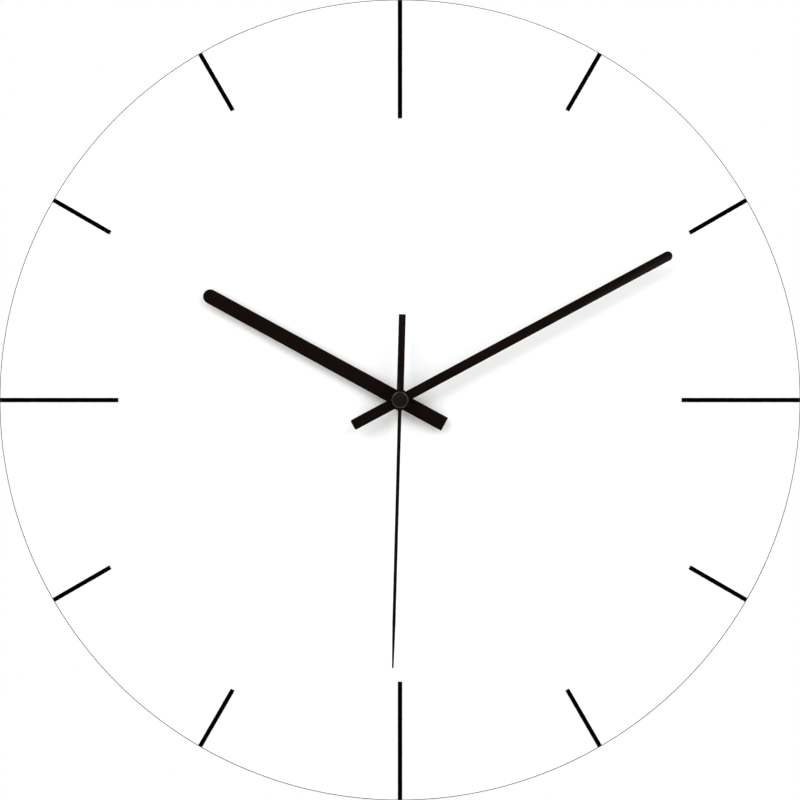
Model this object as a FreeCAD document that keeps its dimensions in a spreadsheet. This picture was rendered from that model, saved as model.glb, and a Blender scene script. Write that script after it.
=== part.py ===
import FreeCAD, Part
import math
import os
import Sketcher

# A round wall clock: a flat frameless dial, three hands and a plain quartz movement that hangs
# on one nail. Millimetres, +Z up. The origin is the centre of the hanger's eye on the wall face,
# +Y runs into the wall, and the dial faces -Y. Depths are counted from the wall forwards, and
# places across and up are counted from the spindle that the hands turn on.

DRIVING_SIZES = {
    # Dial and its printed marks
    "dial_diameter": 300.0,
    "dial_thickness": 3.0,
    "dial_edge_chamfer": 0.25,
    "mark_width": 1.6,
    "mark_thickness": 0.2,
    "quarter_mark_length": 44.25,
    "hour_mark_length": 24.5,
    # Hands
    "hand_eye_rim": 0.6,
    "hand_thickness": 0.5,
    "hour_hand_reach": 83.5,
    "hour_hand_root_width": 5.6,
    "hour_hand_tip_width": 5.4,
    "hour_tail_reach": 19.0,
    "hour_tail_width": 5.5,
    "minute_hand_reach": 115.3,
    "minute_hand_root_width": 3.65,
    "minute_hand_tip_width": 3.6,
    "minute_tail_reach": 20.0,
    "minute_tail_width": 4.05,
    "second_hand_reach": 100.0,
    "second_hand_thickness": 0.3,
    "second_hand_root_width": 1.35,
    "second_hand_point_width": 1.2,
    "second_hand_tip_width": 0.65,
    "second_hand_point_length": 17.0,
    "second_tail_reach": 32.0,
    "second_tail_width": 2.6,
    "second_hub_radius": 3.1,
    "second_neck_length": 1.2,
    "second_neck_width": 2.6,
    "hour_hand_turn": 298.6,
    "minute_hand_turn": 61.75,
    "second_hand_turn": 181.55,
    # Stack in front of the dial
    "hour_hand_standoff": 2.0,
    "hand_spacing": 2.3,
    "bush_wall": 0.8,
    "bush_collar": 0.4,
    "bush_front": 0.6,
    "hub_front": 0.7,
    "hub_edge": 0.3,
    "hub_dish": 0.15,
    "tube_overrun": 0.4,
    "boss_recess": 0.5,
    # Movement case
    "case_width": 56.0,
    "case_depth": 16.0,
    "case_wall": 1.2,
    "case_corner": 2.5,
    "front_wall": 1.0,
    "split_depth": 11.0,
    "lap_length": 1.5,
    "lap_gap": 0.1,
    "snap_width": 6.0,
    "snap_height": 0.8,
    "snap_reach": 0.35,
    "snap_root": 0.3,
    "tape_width": 50.0,
    "tape_thickness": 1.0,
    "tape_hole_radius": 6.0,
    "tape_corner": 2.0,
    "hanger_rise": 7.0,
    "hanger_eye_radius": 4.5,
    "hanger_thickness": 3.0,
    "hanger_half_width": 8.0,
    "hanger_slot_radius": 1.9,
    "hanger_slot_rise": 5.5,
    "hanger_rim": 4.0,
    # Fits between moving pieces
    "running_gap": 0.08,
    "pivot_gap": 0.05,
    "axial_gap": 0.2,
    "cannon_gap": 0.3,
    "wheel_gap": 0.4,
    "boss_gap": 0.2,
    "press_gap": 0.02,
    # Spindle tubes and arbors
    "hour_tube_radius": 2.5,
    "minute_tube_radius": 1.6,
    "second_arbor_radius": 0.5,
    "train_arbor_radius": 0.4,
    "motion_shaft_radius": 1.0,
    "spindle_boss_wall": 0.92,
    "pivot_boss_radius": 1.1,
    "pivot_depth": 1.6,
    # Gears: centre distances, directions and tooth counts
    "train_centres": 6.9,
    "third_direction": 290.0,
    "intermediate_offset": 0.3,
    "intermediate_direction": 30.0,
    "rotor_centres": 5.95,
    "rotor_direction": 15.0,
    "motion_offset": 1.5,
    "motion_direction": 105.0,
    "small_pinion_teeth": 8,
    "rotor_pinion_teeth": 10,
    "intermediate_pinion_teeth": 12,
    "cannon_pinion_teeth": 15,
    "motion_wheel_teeth": 36,
    "hour_wheel_teeth": 40,
    "train_wheel_teeth": 60,
    "minute_wheel_teeth": 64,
    "pressure_angle": 20.0,
    "pinion_addendum": 1.1,
    "pinion_dedendum": 0.8,
    "wheel_addendum": 0.45,
    "wheel_dedendum": 1.4,
    "tooth_fullness": 0.9,
    "gear_thickness": 0.7,
    "hour_wheel_thickness": 0.8,
    "hour_boss_length": 0.8,
    "hour_boss_wall": 1.1,
    "cannon_sleeve_radius": 2.87,
    "clutch_radius": 1.3,
    # Middle plate and the posts that carry it
    "plate_thickness": 1.0,
    "plate_left": -14.5,
    "plate_right": 17.5,
    "plate_low": -11.0,
    "plate_high": 16.0,
    "post_inset": 1.8,
    "post_radius": 1.4,
    "post_pin_radius": 0.7,
    "pin_gap": 0.05,
    "pin_overrun": 0.5,
    # Stepper motor
    "magnet_radius": 3.0,
    "magnet_thickness": 1.8,
    "magnet_hub_radius": 0.9,
    "rotor_hole_radius": 3.4,
    "rotor_notch_radius": 0.5,
    "stator_thickness": 0.8,
    "stator_half_height": 3.9,
    "stator_leg_width": 4.0,
    "stator_left": -9.0,
    "stator_right": 20.0,
    "core_up": 21.4,
    "core_half_width": 1.5,
    "core_thickness": 0.8,
    "bobbin_left": -4.5,
    "bobbin_right": 15.5,
    "bobbin_radius": 3.0,
    "bobbin_tube_radius": 1.9,
    "bobbin_flange": 0.8,
    "winding_radius": 2.8,
    "coil_lead_radius": 0.15,
    "coil_lead_spread": 1.8,
    "coil_lead_landing": 1.2,
    # Circuit board
    "board_left": -26.0,
    "board_right": -14.5,
    "board_low": -9.0,
    "board_high": 24.0,
    "board_thickness": 1.0,
    "chip_across": -20.0,
    "chip_up": 9.0,
    "chip_radius": 2.6,
    "chip_height": 1.2,
    "chip_slope": 0.4,
    "chip_crown": 0.15,
    "crystal_across": -18.0,
    "crystal_low": -5.0,
    "crystal_length": 6.0,
    "crystal_radius": 1.0,
    "board_post_left": -24.0,
    "board_post_middle": -21.0,
    "board_post_right": -16.5,
    "board_post_high": 17.0,
    "board_post_mid": 3.5,
    "board_post_low": -6.0,
    # Battery bay
    "bay_gap": 0.1,
    "bay_wall": 0.8,
    "bay_end_slot": 0.6,
    "contact_thickness": 0.3,
    "contact_gap": 0.05,
    "contact_half_width": 4.5,
    "contact_strip_width": 1.5,
    "contact_tab_height": 1.5,
    "contact_tab_overlap": 1.2,
    "leaf_half_width": 3.6,
    "leaf_touch_height": 1.5,
    "leaf_return": 1.2,
    "battery_radius": 7.1,
    "battery_sleeve_wall": 0.1,
    "battery_length": 50.2,
    "battery_nub_length": 1.2,
    "battery_nub_radius": 2.6,
    "battery_base_radius": 4.5,
    "battery_base_height": 0.3,
    "battery_shoulder": 0.6,
    # Setting knob on the back
    "knob_radius": 5.2,
    "knob_thickness": 3.0,
    "knob_recess": 0.5,
    "knob_flutes": 24,
    "knob_flute_radius": 0.35,
    "knob_well_gap": 0.6,
    "knob_well_wall": 0.8,
    "knob_floor": 1.0,
}

document = FreeCAD.newDocument("WallClock")


class Size:
    """A number with the sheet formula that gives it, so that sums of sizes stay bound to the sheet."""

    def __init__(self, number, formula=None):
        self.number = float(number)
        self.formula = formula or f"{self.number:g}"

    def __add__(self, other):
        other = as_size(other)
        return Size(self.number + other.number, f"({self.formula} + {other.formula})")

    def __sub__(self, other):
        other = as_size(other)
        return Size(self.number - other.number, f"({self.formula} - {other.formula})")

    def __mul__(self, other):
        other = as_size(other)
        return Size(self.number * other.number, f"({self.formula} * {other.formula})")

    def __truediv__(self, other):
        other = as_size(other)
        return Size(self.number / other.number, f"({self.formula} / {other.formula})")

    def __neg__(self):
        return Size(-self.number, f"(0 - {self.formula})")

    __radd__ = __add__
    __rmul__ = __mul__


def as_size(value):
    return value if isinstance(value, Size) else Size(value)


def write_sheet(sizes):
    """Write each driving size to a cell of its own and return the sizes by name."""
    sheet = document.addObject("Spreadsheet::Sheet", "Sizes")
    for row, (name, number) in enumerate(sizes.items(), start=1):
        sheet.set(f"A{row}", name)
        sheet.set(f"B{row}", str(number))
        sheet.setAlias(f"B{row}", name)
    document.recompute()
    return {name: Size(number, f"Sizes.{name}") for name, number in sizes.items()}


def sine(angle):
    return Size(math.sin(math.radians(angle.number)), f"sin({angle.formula})")


def cosine(angle):
    return Size(math.cos(math.radians(angle.number)), f"cos({angle.formula})")


def tangent(angle):
    return Size(math.tan(math.radians(angle.number)), f"tan({angle.formula})")


def arc_cosine(ratio):
    return Size(math.degrees(math.acos(ratio.number)), f"(acos({ratio.formula}) / 1 deg)")


def larger(first, second):
    return Size(max(first.number, second.number), f"max({first.formula}; {second.formula})")


def at_direction(distance, direction):
    """The place at a distance from the spindle, in a direction counted clockwise from 12 o'clock."""
    return distance * sine(direction), distance * cosine(direction)


def bind(thing, name, size):
    thing.setExpression(name, size.formula)


size = write_sheet(DRIVING_SIZES)
NOTHING = Size(0)
QUARTER_TURN = Size(90)
HALF_TURN = Size(180)
FULL_TURN = 360
DEGREES_PER_RADIAN = Size(math.degrees(1), "(180 / pi)")
HOUR_STEP = Size(30)
QUARTERS = Size(4)
FLANK_STEPS = 3
CUT_MARGIN = Size(0.05)

# Plan of the case and of the battery bay
case_half = size["case_width"] / 2
inner_half = case_half - size["case_wall"]
lap_line = case_half - size["case_wall"] / 2
hanger_drop = case_half + size["hanger_rise"]
battery_up = size["battery_radius"] + size["bay_gap"] - inner_half
bay_high = battery_up + size["battery_radius"] + size["bay_gap"]
bay_top = bay_high + size["bay_wall"]
battery_left = size["contact_thickness"] + size["contact_gap"] - inner_half
battery_right = battery_left + size["battery_length"]

# Bosses and eyes that follow the hour tube, the widest tube of the spindle
spindle_boss_radius = size["hour_tube_radius"] + size["running_gap"] + size["spindle_boss_wall"]
hour_boss_radius = size["hour_tube_radius"] + size["hour_boss_wall"]
hand_eye_radius = size["hour_tube_radius"] + size["bush_wall"] + size["hand_eye_rim"]

# Places of the axes beside the spindle: the train's outer arbors clear the minute wheel
intermediate_centres = size["train_centres"] + size["intermediate_offset"]
motion_centres = size["train_centres"] + size["motion_offset"]
third_place = at_direction(size["train_centres"], size["third_direction"])
intermediate_place = at_direction(intermediate_centres, size["intermediate_direction"])
rotor_step = at_direction(size["rotor_centres"], size["rotor_direction"])
rotor_place = (intermediate_place[0] + rotor_step[0], intermediate_place[1] + rotor_step[1])
motion_place = at_direction(motion_centres, size["motion_direction"])

# Depths of the case, the dial and the hands, counted from the wall forwards
inside_front = size["case_depth"] - size["front_wall"]
dial_rear = size["case_depth"] + size["tape_thickness"]
dial_front = dial_rear + size["dial_thickness"]
hour_hand_rear = dial_front + size["hour_hand_standoff"]
hour_hand_front = hour_hand_rear + size["hand_thickness"]
minute_hand_rear = hour_hand_front + size["hand_spacing"]
minute_hand_front = minute_hand_rear + size["hand_thickness"]
second_hand_rear = minute_hand_front + size["hand_spacing"]
second_hand_front = second_hand_rear + size["second_hand_thickness"]
hub_front = second_hand_front + size["hub_front"]
hour_tube_front = hour_hand_front + size["bush_front"] + size["tube_overrun"]
minute_tube_front = minute_hand_front + size["bush_front"] + size["tube_overrun"]
battery_depth = inside_front - size["battery_radius"] - size["bay_gap"]

# Depths of the wheels, from the front wall back towards the motor
hour_wheel_front = inside_front - size["axial_gap"] / 2 - size["hour_boss_length"]
hour_wheel_rear = hour_wheel_front - size["hour_wheel_thickness"]
motion_pinion_front = hour_wheel_front + size["axial_gap"]
cannon_front = hour_wheel_rear - size["cannon_gap"]
motion_wheel_front = cannon_front - size["axial_gap"]
motion_wheel_rear = motion_wheel_front - size["gear_thickness"]
plate_front = motion_wheel_rear - size["wheel_gap"]
plate_rear = plate_front - size["plate_thickness"]
cannon_rear = plate_front + size["axial_gap"]
sleeve_rear = plate_rear - size["axial_gap"]
minute_wheel_front = sleeve_rear - size["axial_gap"]
minute_wheel_rear = minute_wheel_front - size["gear_thickness"]
third_pinion_front = plate_rear - size["axial_gap"]
third_wheel_front = minute_wheel_rear - size["wheel_gap"]
third_wheel_rear = third_wheel_front - size["gear_thickness"]
second_pinion_front = third_wheel_front + size["axial_gap"]
second_wheel_front = third_wheel_rear - size["wheel_gap"]
second_wheel_rear = second_wheel_front - size["gear_thickness"]
intermediate_pinion_front = second_wheel_front + size["wheel_gap"]
intermediate_wheel_front = second_wheel_rear - size["wheel_gap"]
intermediate_wheel_rear = intermediate_wheel_front - size["gear_thickness"]
rotor_pinion_front = intermediate_wheel_front + size["axial_gap"]
rotor_pinion_rear = intermediate_wheel_rear - size["axial_gap"]
magnet_front = rotor_pinion_rear - size["wheel_gap"]
magnet_rear = magnet_front - size["magnet_thickness"]
stator_rear = (magnet_front + magnet_rear - size["stator_thickness"]) / 2
stator_front = stator_rear + size["stator_thickness"]
core_front = stator_front + size["core_thickness"]
coil_depth = stator_front + size["core_thickness"] / 2
board_front = core_front
board_rear = board_front - size["board_thickness"]
pivot_front = plate_front - size["axial_gap"]
knob_front = size["knob_recess"] + size["knob_thickness"]

# Corner posts of the middle plate and posts of the circuit board, as (across, up)
PLATE_POSTS = [
    (size["plate_left"] + size["post_inset"], size["plate_low"] + size["post_inset"]),
    (size["plate_left"] + size["post_inset"], size["plate_high"] - size["post_inset"]),
    (size["plate_right"] - size["post_inset"], size["plate_low"] + size["post_inset"]),
    (size["plate_right"] - size["post_inset"], size["plate_high"] - size["post_inset"]),
]
BOARD_POSTS = [
    (size["board_post_middle"], size["board_post_low"]),
    (size["board_post_left"], size["board_post_high"]),
    (size["board_post_right"], size["board_post_mid"]),
]
stator_left_post = (size["stator_left"] + size["stator_leg_width"] / 2, size["core_up"])
stator_right_post = (size["stator_right"] - size["stator_leg_width"] / 2, size["core_up"])
CORE_POSTS = [stator_left_post, stator_right_post]


# ---- Sketch and feature helpers ----


def new_body(name, place=(NOTHING, NOTHING), depth=NOTHING, turn=None):
    """A body whose own origin lies at a place beside the spindle and a depth in front of the wall."""
    body = document.addObject("PartDesign::Body", name)
    body.Label = name
    put(body, place, depth, turn)
    return body


def put(thing, place, depth, turn=None):
    """Place a sub-part, with an optional clockwise turn about the spindle direction."""
    across, up = place
    up = up - hanger_drop
    angle = turn.number if turn else 0
    rotation = FreeCAD.Rotation(FreeCAD.Vector(0, 1, 0), angle)
    thing.Placement = FreeCAD.Placement(FreeCAD.Vector(across.number, -depth.number, up.number), rotation)
    bind(thing, "Placement.Base.x", across)
    bind(thing, "Placement.Base.y", -depth)
    bind(thing, "Placement.Base.z", up)
    if turn:
        bind(thing, "Placement.Rotation.Angle", turn)


def origin_feature(body, role):
    return next(feature for feature in body.Origin.OriginFeatures if feature.Role == role)


def new_sketch(body, plane, offset=NOTHING):
    """A sketch on one of the body's own origin planes, shifted along that plane's normal."""
    sketch = body.newObject("Sketcher::SketchObject", f"{body.Label}_sketch")
    sketch.AttachmentSupport = (origin_feature(body, plane), "")
    sketch.MapMode = "FlatFace"
    sketch.AttachmentOffset = FreeCAD.Placement(FreeCAD.Vector(0, 0, offset.number), FreeCAD.Rotation())
    bind(sketch, "AttachmentOffset.Base.z", offset)
    return sketch


def facing_sketch(body, depth):
    """A sketch parallel to the wall at a depth in front of it: x is across and y is up."""
    return new_sketch(body, "XZ_Plane", depth)


def fix_distance(sketch, kind, geometry, point, distance):
    """Hold a sketch point at one distance, across or up, from the sketch origin."""
    index = sketch.addConstraint(Sketcher.Constraint(kind, -1, 1, geometry, point, distance.number))
    bind(sketch, f"Constraints[{index}]", distance)


def fix_point(sketch, geometry, point, x, y):
    fix_distance(sketch, "DistanceX", geometry, point, x)
    fix_distance(sketch, "DistanceY", geometry, point, y)


def fix_radius(sketch, geometry, radius):
    index = sketch.addConstraint(Sketcher.Constraint("Radius", geometry, radius.number))
    bind(sketch, f"Constraints[{index}]", radius)


def outline(sketch, points):
    """A closed outline of straight edges through points, each an (x, y) pair of sizes."""
    corners = [FreeCAD.Vector(x.number, y.number, 0) for x, y in points]
    first = sketch.GeometryCount
    count = len(points)
    for i in range(count):
        sketch.addGeometry(Part.LineSegment(corners[i], corners[(i + 1) % count]), False)
    for i in range(count):
        sketch.addConstraint(Sketcher.Constraint("Coincident", first + i, 2, first + (i + 1) % count, 1))
    for i, (x, y) in enumerate(points):
        fix_point(sketch, first + i, 1, x, y)


def rectangle(sketch, left, right, low, high):
    outline(sketch, [(left, low), (right, low), (right, high), (left, high)])


def rounded_square(sketch, half, corner):
    """A square about the sketch origin with four round corners."""
    inset = half - corner
    quarter = math.pi / 2
    arcs = []
    for i, (x_side, y_side) in enumerate([(1, 1), (-1, 1), (-1, -1), (1, -1)]):
        x = inset * x_side
        y = inset * y_side
        whole = Part.Circle(FreeCAD.Vector(x.number, y.number, 0), FreeCAD.Vector(0, 0, 1), corner.number)
        arc = sketch.addGeometry(Part.ArcOfCircle(whole, quarter * i, quarter * (i + 1)), False)
        fix_point(sketch, arc, 3, x, y)
        fix_radius(sketch, arc, corner)
        # each end of the arc lies straight across from, or straight above, the arc's centre
        level_end, upright_end = (1, 2) if i % 2 == 0 else (2, 1)
        fix_distance(sketch, "DistanceY", arc, level_end, y)
        fix_distance(sketch, "DistanceX", arc, upright_end, x)
        arcs.append(arc)
    for arc, following in zip(arcs, arcs[1:] + arcs[:1]):
        start = sketch.getPoint(arc, 2)
        end = sketch.getPoint(following, 1)
        side = sketch.addGeometry(Part.LineSegment(start, end), False)
        sketch.addConstraint(Sketcher.Constraint("Coincident", arc, 2, side, 1))
        sketch.addConstraint(Sketcher.Constraint("Coincident", side, 2, following, 1))


def circle(sketch, radius, place=(NOTHING, NOTHING)):
    x, y = place
    centre = FreeCAD.Vector(x.number, y.number, 0)
    index = sketch.addGeometry(Part.Circle(centre, FreeCAD.Vector(0, 0, 1), radius.number), False)
    fix_point(sketch, index, 3, x, y)
    fix_radius(sketch, index, radius)


def pad(body, sketch, length):
    """Raise a sketch along its own normal: forwards from the wall for a facing sketch."""
    feature = body.newObject("PartDesign::Pad", f"{body.Label}_pad")
    feature.Profile = sketch
    bind(feature, "Length", length)
    sketch.Visibility = False
    return feature


def pocket(body, sketch, length):
    """Cut a sketch against its normal: back towards the wall for a facing sketch."""
    document.recompute()
    before = body.Shape.Volume
    feature = body.newObject("PartDesign::Pocket", f"{body.Label}_pocket")
    feature.Profile = sketch
    bind(feature, "Length", length)
    document.recompute()
    if body.Shape.Volume >= before:
        raise ValueError(f"a pocket of {body.Label} cuts nothing")
    return feature


def turned(body, profile, axis="Y_Axis"):
    """Turn a closed profile about an axis of the body. About Y the points are (radius, depth)."""
    sketch = new_sketch(body, "XY_Plane")
    if axis == "Y_Axis":
        outline(sketch, [(radius, -depth) for radius, depth in profile])
    else:
        outline(sketch, profile)
    feature = body.newObject("PartDesign::Revolution", f"{body.Label}_turned")
    feature.Profile = sketch
    feature.ReferenceAxis = (origin_feature(body, axis), [""])
    feature.Angle = FULL_TURN
    return feature


def ring_of(body, features, count):
    """Repeat features evenly around the body's own spindle axis."""
    pattern = body.newObject("PartDesign::PolarPattern", f"{body.Label}_ring")
    pattern.Originals = features
    pattern.Axis = (origin_feature(body, "Y_Axis"), [""])
    pattern.Angle = FULL_TURN
    bind(pattern, "Occurrences", count)
    body.Tip = pattern


def disc(body, rear, front, radius, place=(NOTHING, NOTHING)):
    """A round pad between two depths."""
    sketch = facing_sketch(body, rear)
    circle(sketch, radius, place)
    return pad(body, sketch, front - rear)


def bore(body, rear, front, radius, place=(NOTHING, NOTHING)):
    """A round hole between two depths."""
    sketch = facing_sketch(body, front)
    circle(sketch, radius, place)
    return pocket(body, sketch, front - rear)


def block(body, rear, front, left, right, low, high):
    """A rectangular pad between two depths."""
    sketch = facing_sketch(body, rear)
    rectangle(sketch, left, right, low, high)
    return pad(body, sketch, front - rear)


# ---- Gears ----


def gear_module(centres, first_teeth, second_teeth):
    return centres * 2 / (first_teeth + second_teeth)


def involute(angle):
    return tangent(angle) * DEGREES_PER_RADIAN - angle


def toothed_rim(body, rear, front, teeth, module, phase, wheel):
    """A toothed disc with involute flanks whose first tooth gap points in the phase direction."""
    kind = "wheel" if wheel else "pinion"
    pitch = module * teeth / 2
    base = pitch * cosine(size["pressure_angle"])
    tip = pitch + module * size[f"{kind}_addendum"]
    root = pitch - module * size[f"{kind}_dedendum"]
    disc(body, rear, front, tip)
    start = larger(root, base)
    radii = [start + (tip + CUT_MARGIN - start) * (i / FLANK_STEPS) for i in range(FLANK_STEPS + 1)]
    if base.number > root.number:
        radii.insert(0, root)

    def half_gap(radius):
        roll = involute(arc_cosine(base / larger(radius, base)))
        half_tooth = size["tooth_fullness"] * QUARTER_TURN / teeth + involute(size["pressure_angle"]) - roll
        return HALF_TURN / teeth - half_tooth

    left = [at_direction(radius, phase - half_gap(radius)) for radius in radii]
    right = [at_direction(radius, phase + half_gap(radius)) for radius in radii]
    crown = at_direction(radii[-1] / cosine(half_gap(radii[-1])), phase)
    sketch = facing_sketch(body, front)
    outline(sketch, left + [crown] + right[::-1])
    gap = pocket(body, sketch, front - rear)
    ring_of(body, [gap], teeth)


def half_pitch(teeth):
    return HALF_TURN / teeth


# ---- Dial and marks ----


def make_dial():
    body = new_body("dial_disc")
    radius = size["dial_diameter"] / 2
    chamfer = size["dial_edge_chamfer"]
    hole = spindle_boss_radius + size["boss_gap"]
    turned(body, [
        (hole, dial_rear),
        (radius - chamfer, dial_rear),
        (radius, dial_rear + chamfer),
        (radius, dial_front - chamfer),
        (radius - chamfer, dial_front),
        (hole, dial_front),
    ])


def mark_outline(sketch, length, direction):
    """One straight mark that ends at the dial's edge chamfer."""
    outer = size["dial_diameter"] / 2 - size["dial_edge_chamfer"]
    half = size["mark_width"] / 2
    corners = [(-half, outer - length), (half, outer - length), (half, outer), (-half, outer)]
    outline(sketch, [
        (x * cosine(direction) + y * sine(direction), y * cosine(direction) - x * sine(direction))
        for x, y in corners
    ])


def make_marks(name, length, directions):
    """Marks on the dial's face, repeated in the four quarters."""
    body = new_body(name)
    raised = []
    for direction in directions:
        sketch = facing_sketch(body, dial_front)
        mark_outline(sketch, length, direction)
        raised.append(pad(body, sketch, size["mark_thickness"]))
    ring_of(body, raised, QUARTERS)


# ---- Hands ----


def blade(body, rear, thickness, reach, root_width, tip_width, tail_reach, tail_width):
    """A tapered blade with a round tip and a square-ended tail."""
    root = root_width / 2
    tip = tip_width / 2
    tail = tail_width / 2
    shoulder = reach - tip
    sketch = facing_sketch(body, rear)
    outline(sketch, [(-root, NOTHING), (root, NOTHING), (tip, shoulder), (-tip, shoulder)])
    pad(body, sketch, thickness)
    disc(body, rear, rear + thickness, tip, (NOTHING, shoulder))
    block(body, rear, rear + thickness, -tail, tail, -tail_reach, NOTHING)


def make_hand(name, rear, turn, tube_radius):
    """An hour or minute hand, with the round eye that its bush is riveted into."""
    body = new_body(f"{name}_hand", turn=turn)
    thickness = size["hand_thickness"]
    blade(
        body, rear, thickness,
        size[f"{name}_hand_reach"], size[f"{name}_hand_root_width"], size[f"{name}_hand_tip_width"],
        size[f"{name}_tail_reach"], size[f"{name}_tail_width"],
    )
    disc(body, rear, rear + thickness, hand_eye_radius)
    eye = tube_radius + size["bush_wall"] + size["press_gap"] * 2
    bore(body, rear, rear + thickness, eye)


def make_bush(name, hand_rear, tube_radius):
    """The collared bush that carries a hand on its tube."""
    body = new_body(f"{name}_hand_bush")
    inner = tube_radius + size["press_gap"]
    outer = inner + size["bush_wall"]
    collar = outer + size["bush_collar"]
    collar_rear = hand_rear - size["bush_collar"]
    front = hand_rear + size["hand_thickness"] + size["bush_front"]
    turned(body, [
        (inner, collar_rear), (collar, collar_rear), (collar, hand_rear),
        (outer, hand_rear), (outer, front), (inner, front),
    ])


def make_second_hand():
    """A needle that narrows again towards its point, with a broad square-ended tail."""
    body = new_body("second_hand", turn=size["second_hand_turn"])
    rear = second_hand_rear
    thickness = size["second_hand_thickness"]
    tail = size["second_tail_width"] / 2
    block(body, rear, rear + thickness, -tail, tail, -size["second_tail_reach"], NOTHING)
    disc(body, rear, rear + thickness, size["second_hub_radius"] - size["press_gap"])
    neck = size["second_neck_width"] / 2
    root = size["second_hand_root_width"] / 2
    point = size["second_hand_point_width"] / 2
    tip = size["second_hand_tip_width"] / 2
    reach = size["second_hand_reach"]
    point_up = reach - size["second_hand_point_length"]
    neck_end = size["second_hub_radius"] + size["second_neck_length"]
    sketch = facing_sketch(body, rear)
    outline(sketch, [
        (-neck, NOTHING), (neck, NOTHING), (neck, size["second_hub_radius"] - root),
        (root, neck_end), (point, point_up), (tip, reach), (-tip, reach), (-point, point_up),
        (-root, neck_end), (-neck, size["second_hub_radius"] - root),
    ])
    pad(body, sketch, thickness)
    bore(body, rear, rear + thickness, size["second_hub_radius"] / 2 + size["press_gap"])


def make_second_hub():
    """The turned hub that rivets the second hand to its arbor, with a shallow dish in front."""
    body = new_body("second_hand_hub")
    inner = size["second_arbor_radius"] + size["press_gap"]
    radius = size["second_hub_radius"]
    neck = radius / 2
    edge = size["hub_edge"]
    dish = hub_front - size["hub_dish"]
    bore_end = dish - size["hub_dish"]
    turned(body, [
        (inner, second_hand_rear - size["bush_collar"]),
        (neck, second_hand_rear - size["bush_collar"]),
        (neck, second_hand_front), (radius, second_hand_front), (radius, hub_front - edge),
        (radius - edge, hub_front), (radius - edge * 2, hub_front), (radius - edge * 3, dish),
        (NOTHING, dish), (NOTHING, bore_end), (inner, bore_end),
    ])


# ---- Spindle and wheel train ----


def make_second_arbor():
    body = new_body("second_arbor")
    rear = second_wheel_rear - size["pivot_depth"]
    front = hub_front - size["hub_dish"] * 2 - size["press_gap"]
    disc(body, rear, front, size["second_arbor_radius"])


def make_second_wheel():
    """The seconds wheel and its pinion, pressed on the thin arbor through the spindle."""
    body = new_body("second_wheel")
    wheel = size["train_wheel_teeth"]
    module = gear_module(intermediate_centres, size["intermediate_pinion_teeth"], wheel)
    toothed_rim(body, second_wheel_rear, second_wheel_front, wheel, module,
                size["intermediate_direction"], wheel=True)
    pinion = size["small_pinion_teeth"]
    module = gear_module(size["train_centres"], pinion, wheel)
    toothed_rim(body, second_wheel_front, second_pinion_front, pinion, module,
                size["third_direction"] + half_pitch(pinion), wheel=False)
    hole = size["second_arbor_radius"] + size["press_gap"]
    bore(body, second_wheel_rear, second_pinion_front, hole)


def make_third_wheel():
    """The one-piece wheel, pinion and arbor between the seconds arbor and the minute wheel."""
    body = new_body("third_wheel", third_place)
    inward = size["third_direction"] + HALF_TURN
    wheel = size["train_wheel_teeth"]
    pinion = size["small_pinion_teeth"]
    module = gear_module(size["train_centres"], pinion, wheel)
    toothed_rim(body, third_wheel_rear, third_wheel_front, wheel, module, inward, wheel=True)
    module = gear_module(size["train_centres"], pinion, size["minute_wheel_teeth"])
    toothed_rim(body, third_wheel_front, third_pinion_front, pinion, module,
                inward + half_pitch(pinion), wheel=False)
    rear = second_wheel_rear - size["pivot_depth"]
    disc(body, rear, third_wheel_rear, size["train_arbor_radius"])
    disc(body, third_pinion_front, pivot_front, size["train_arbor_radius"])


def make_intermediate_wheel():
    """The one-piece wheel, pinion and arbor between the rotor and the seconds wheel."""
    body = new_body("intermediate_wheel", intermediate_place)
    wheel = size["train_wheel_teeth"]
    module = gear_module(size["rotor_centres"], size["rotor_pinion_teeth"], wheel)
    toothed_rim(body, intermediate_wheel_rear, intermediate_wheel_front, wheel, module,
                size["rotor_direction"], wheel=True)
    pinion = size["intermediate_pinion_teeth"]
    module = gear_module(intermediate_centres, pinion, wheel)
    toothed_rim(body, intermediate_wheel_front, intermediate_pinion_front, pinion, module,
                size["intermediate_direction"] + HALF_TURN + half_pitch(pinion), wheel=False)
    rear = intermediate_wheel_rear - size["pivot_depth"]
    disc(body, rear, intermediate_wheel_rear, size["train_arbor_radius"])
    disc(body, intermediate_pinion_front, pivot_front, size["train_arbor_radius"])


def make_rotor():
    """The stepper rotor: a pinion on a hub, and the ring magnet moulded round the hub."""
    pinion = new_body("rotor_pinion", rotor_place)
    teeth = size["rotor_pinion_teeth"]
    module = gear_module(size["rotor_centres"], teeth, size["train_wheel_teeth"])
    toothed_rim(pinion, rotor_pinion_rear, rotor_pinion_front, teeth, module,
                size["rotor_direction"] + HALF_TURN + half_pitch(teeth), wheel=False)
    disc(pinion, magnet_rear, rotor_pinion_rear, size["magnet_hub_radius"])
    disc(pinion, magnet_rear - size["pivot_depth"], magnet_rear, size["train_arbor_radius"])
    disc(pinion, rotor_pinion_front, pivot_front, size["train_arbor_radius"])
    magnet = new_body("rotor_magnet", rotor_place)
    disc(magnet, magnet_rear, magnet_front, size["magnet_radius"])
    bore(magnet, magnet_rear, magnet_front, size["magnet_hub_radius"] + size["press_gap"])


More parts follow.
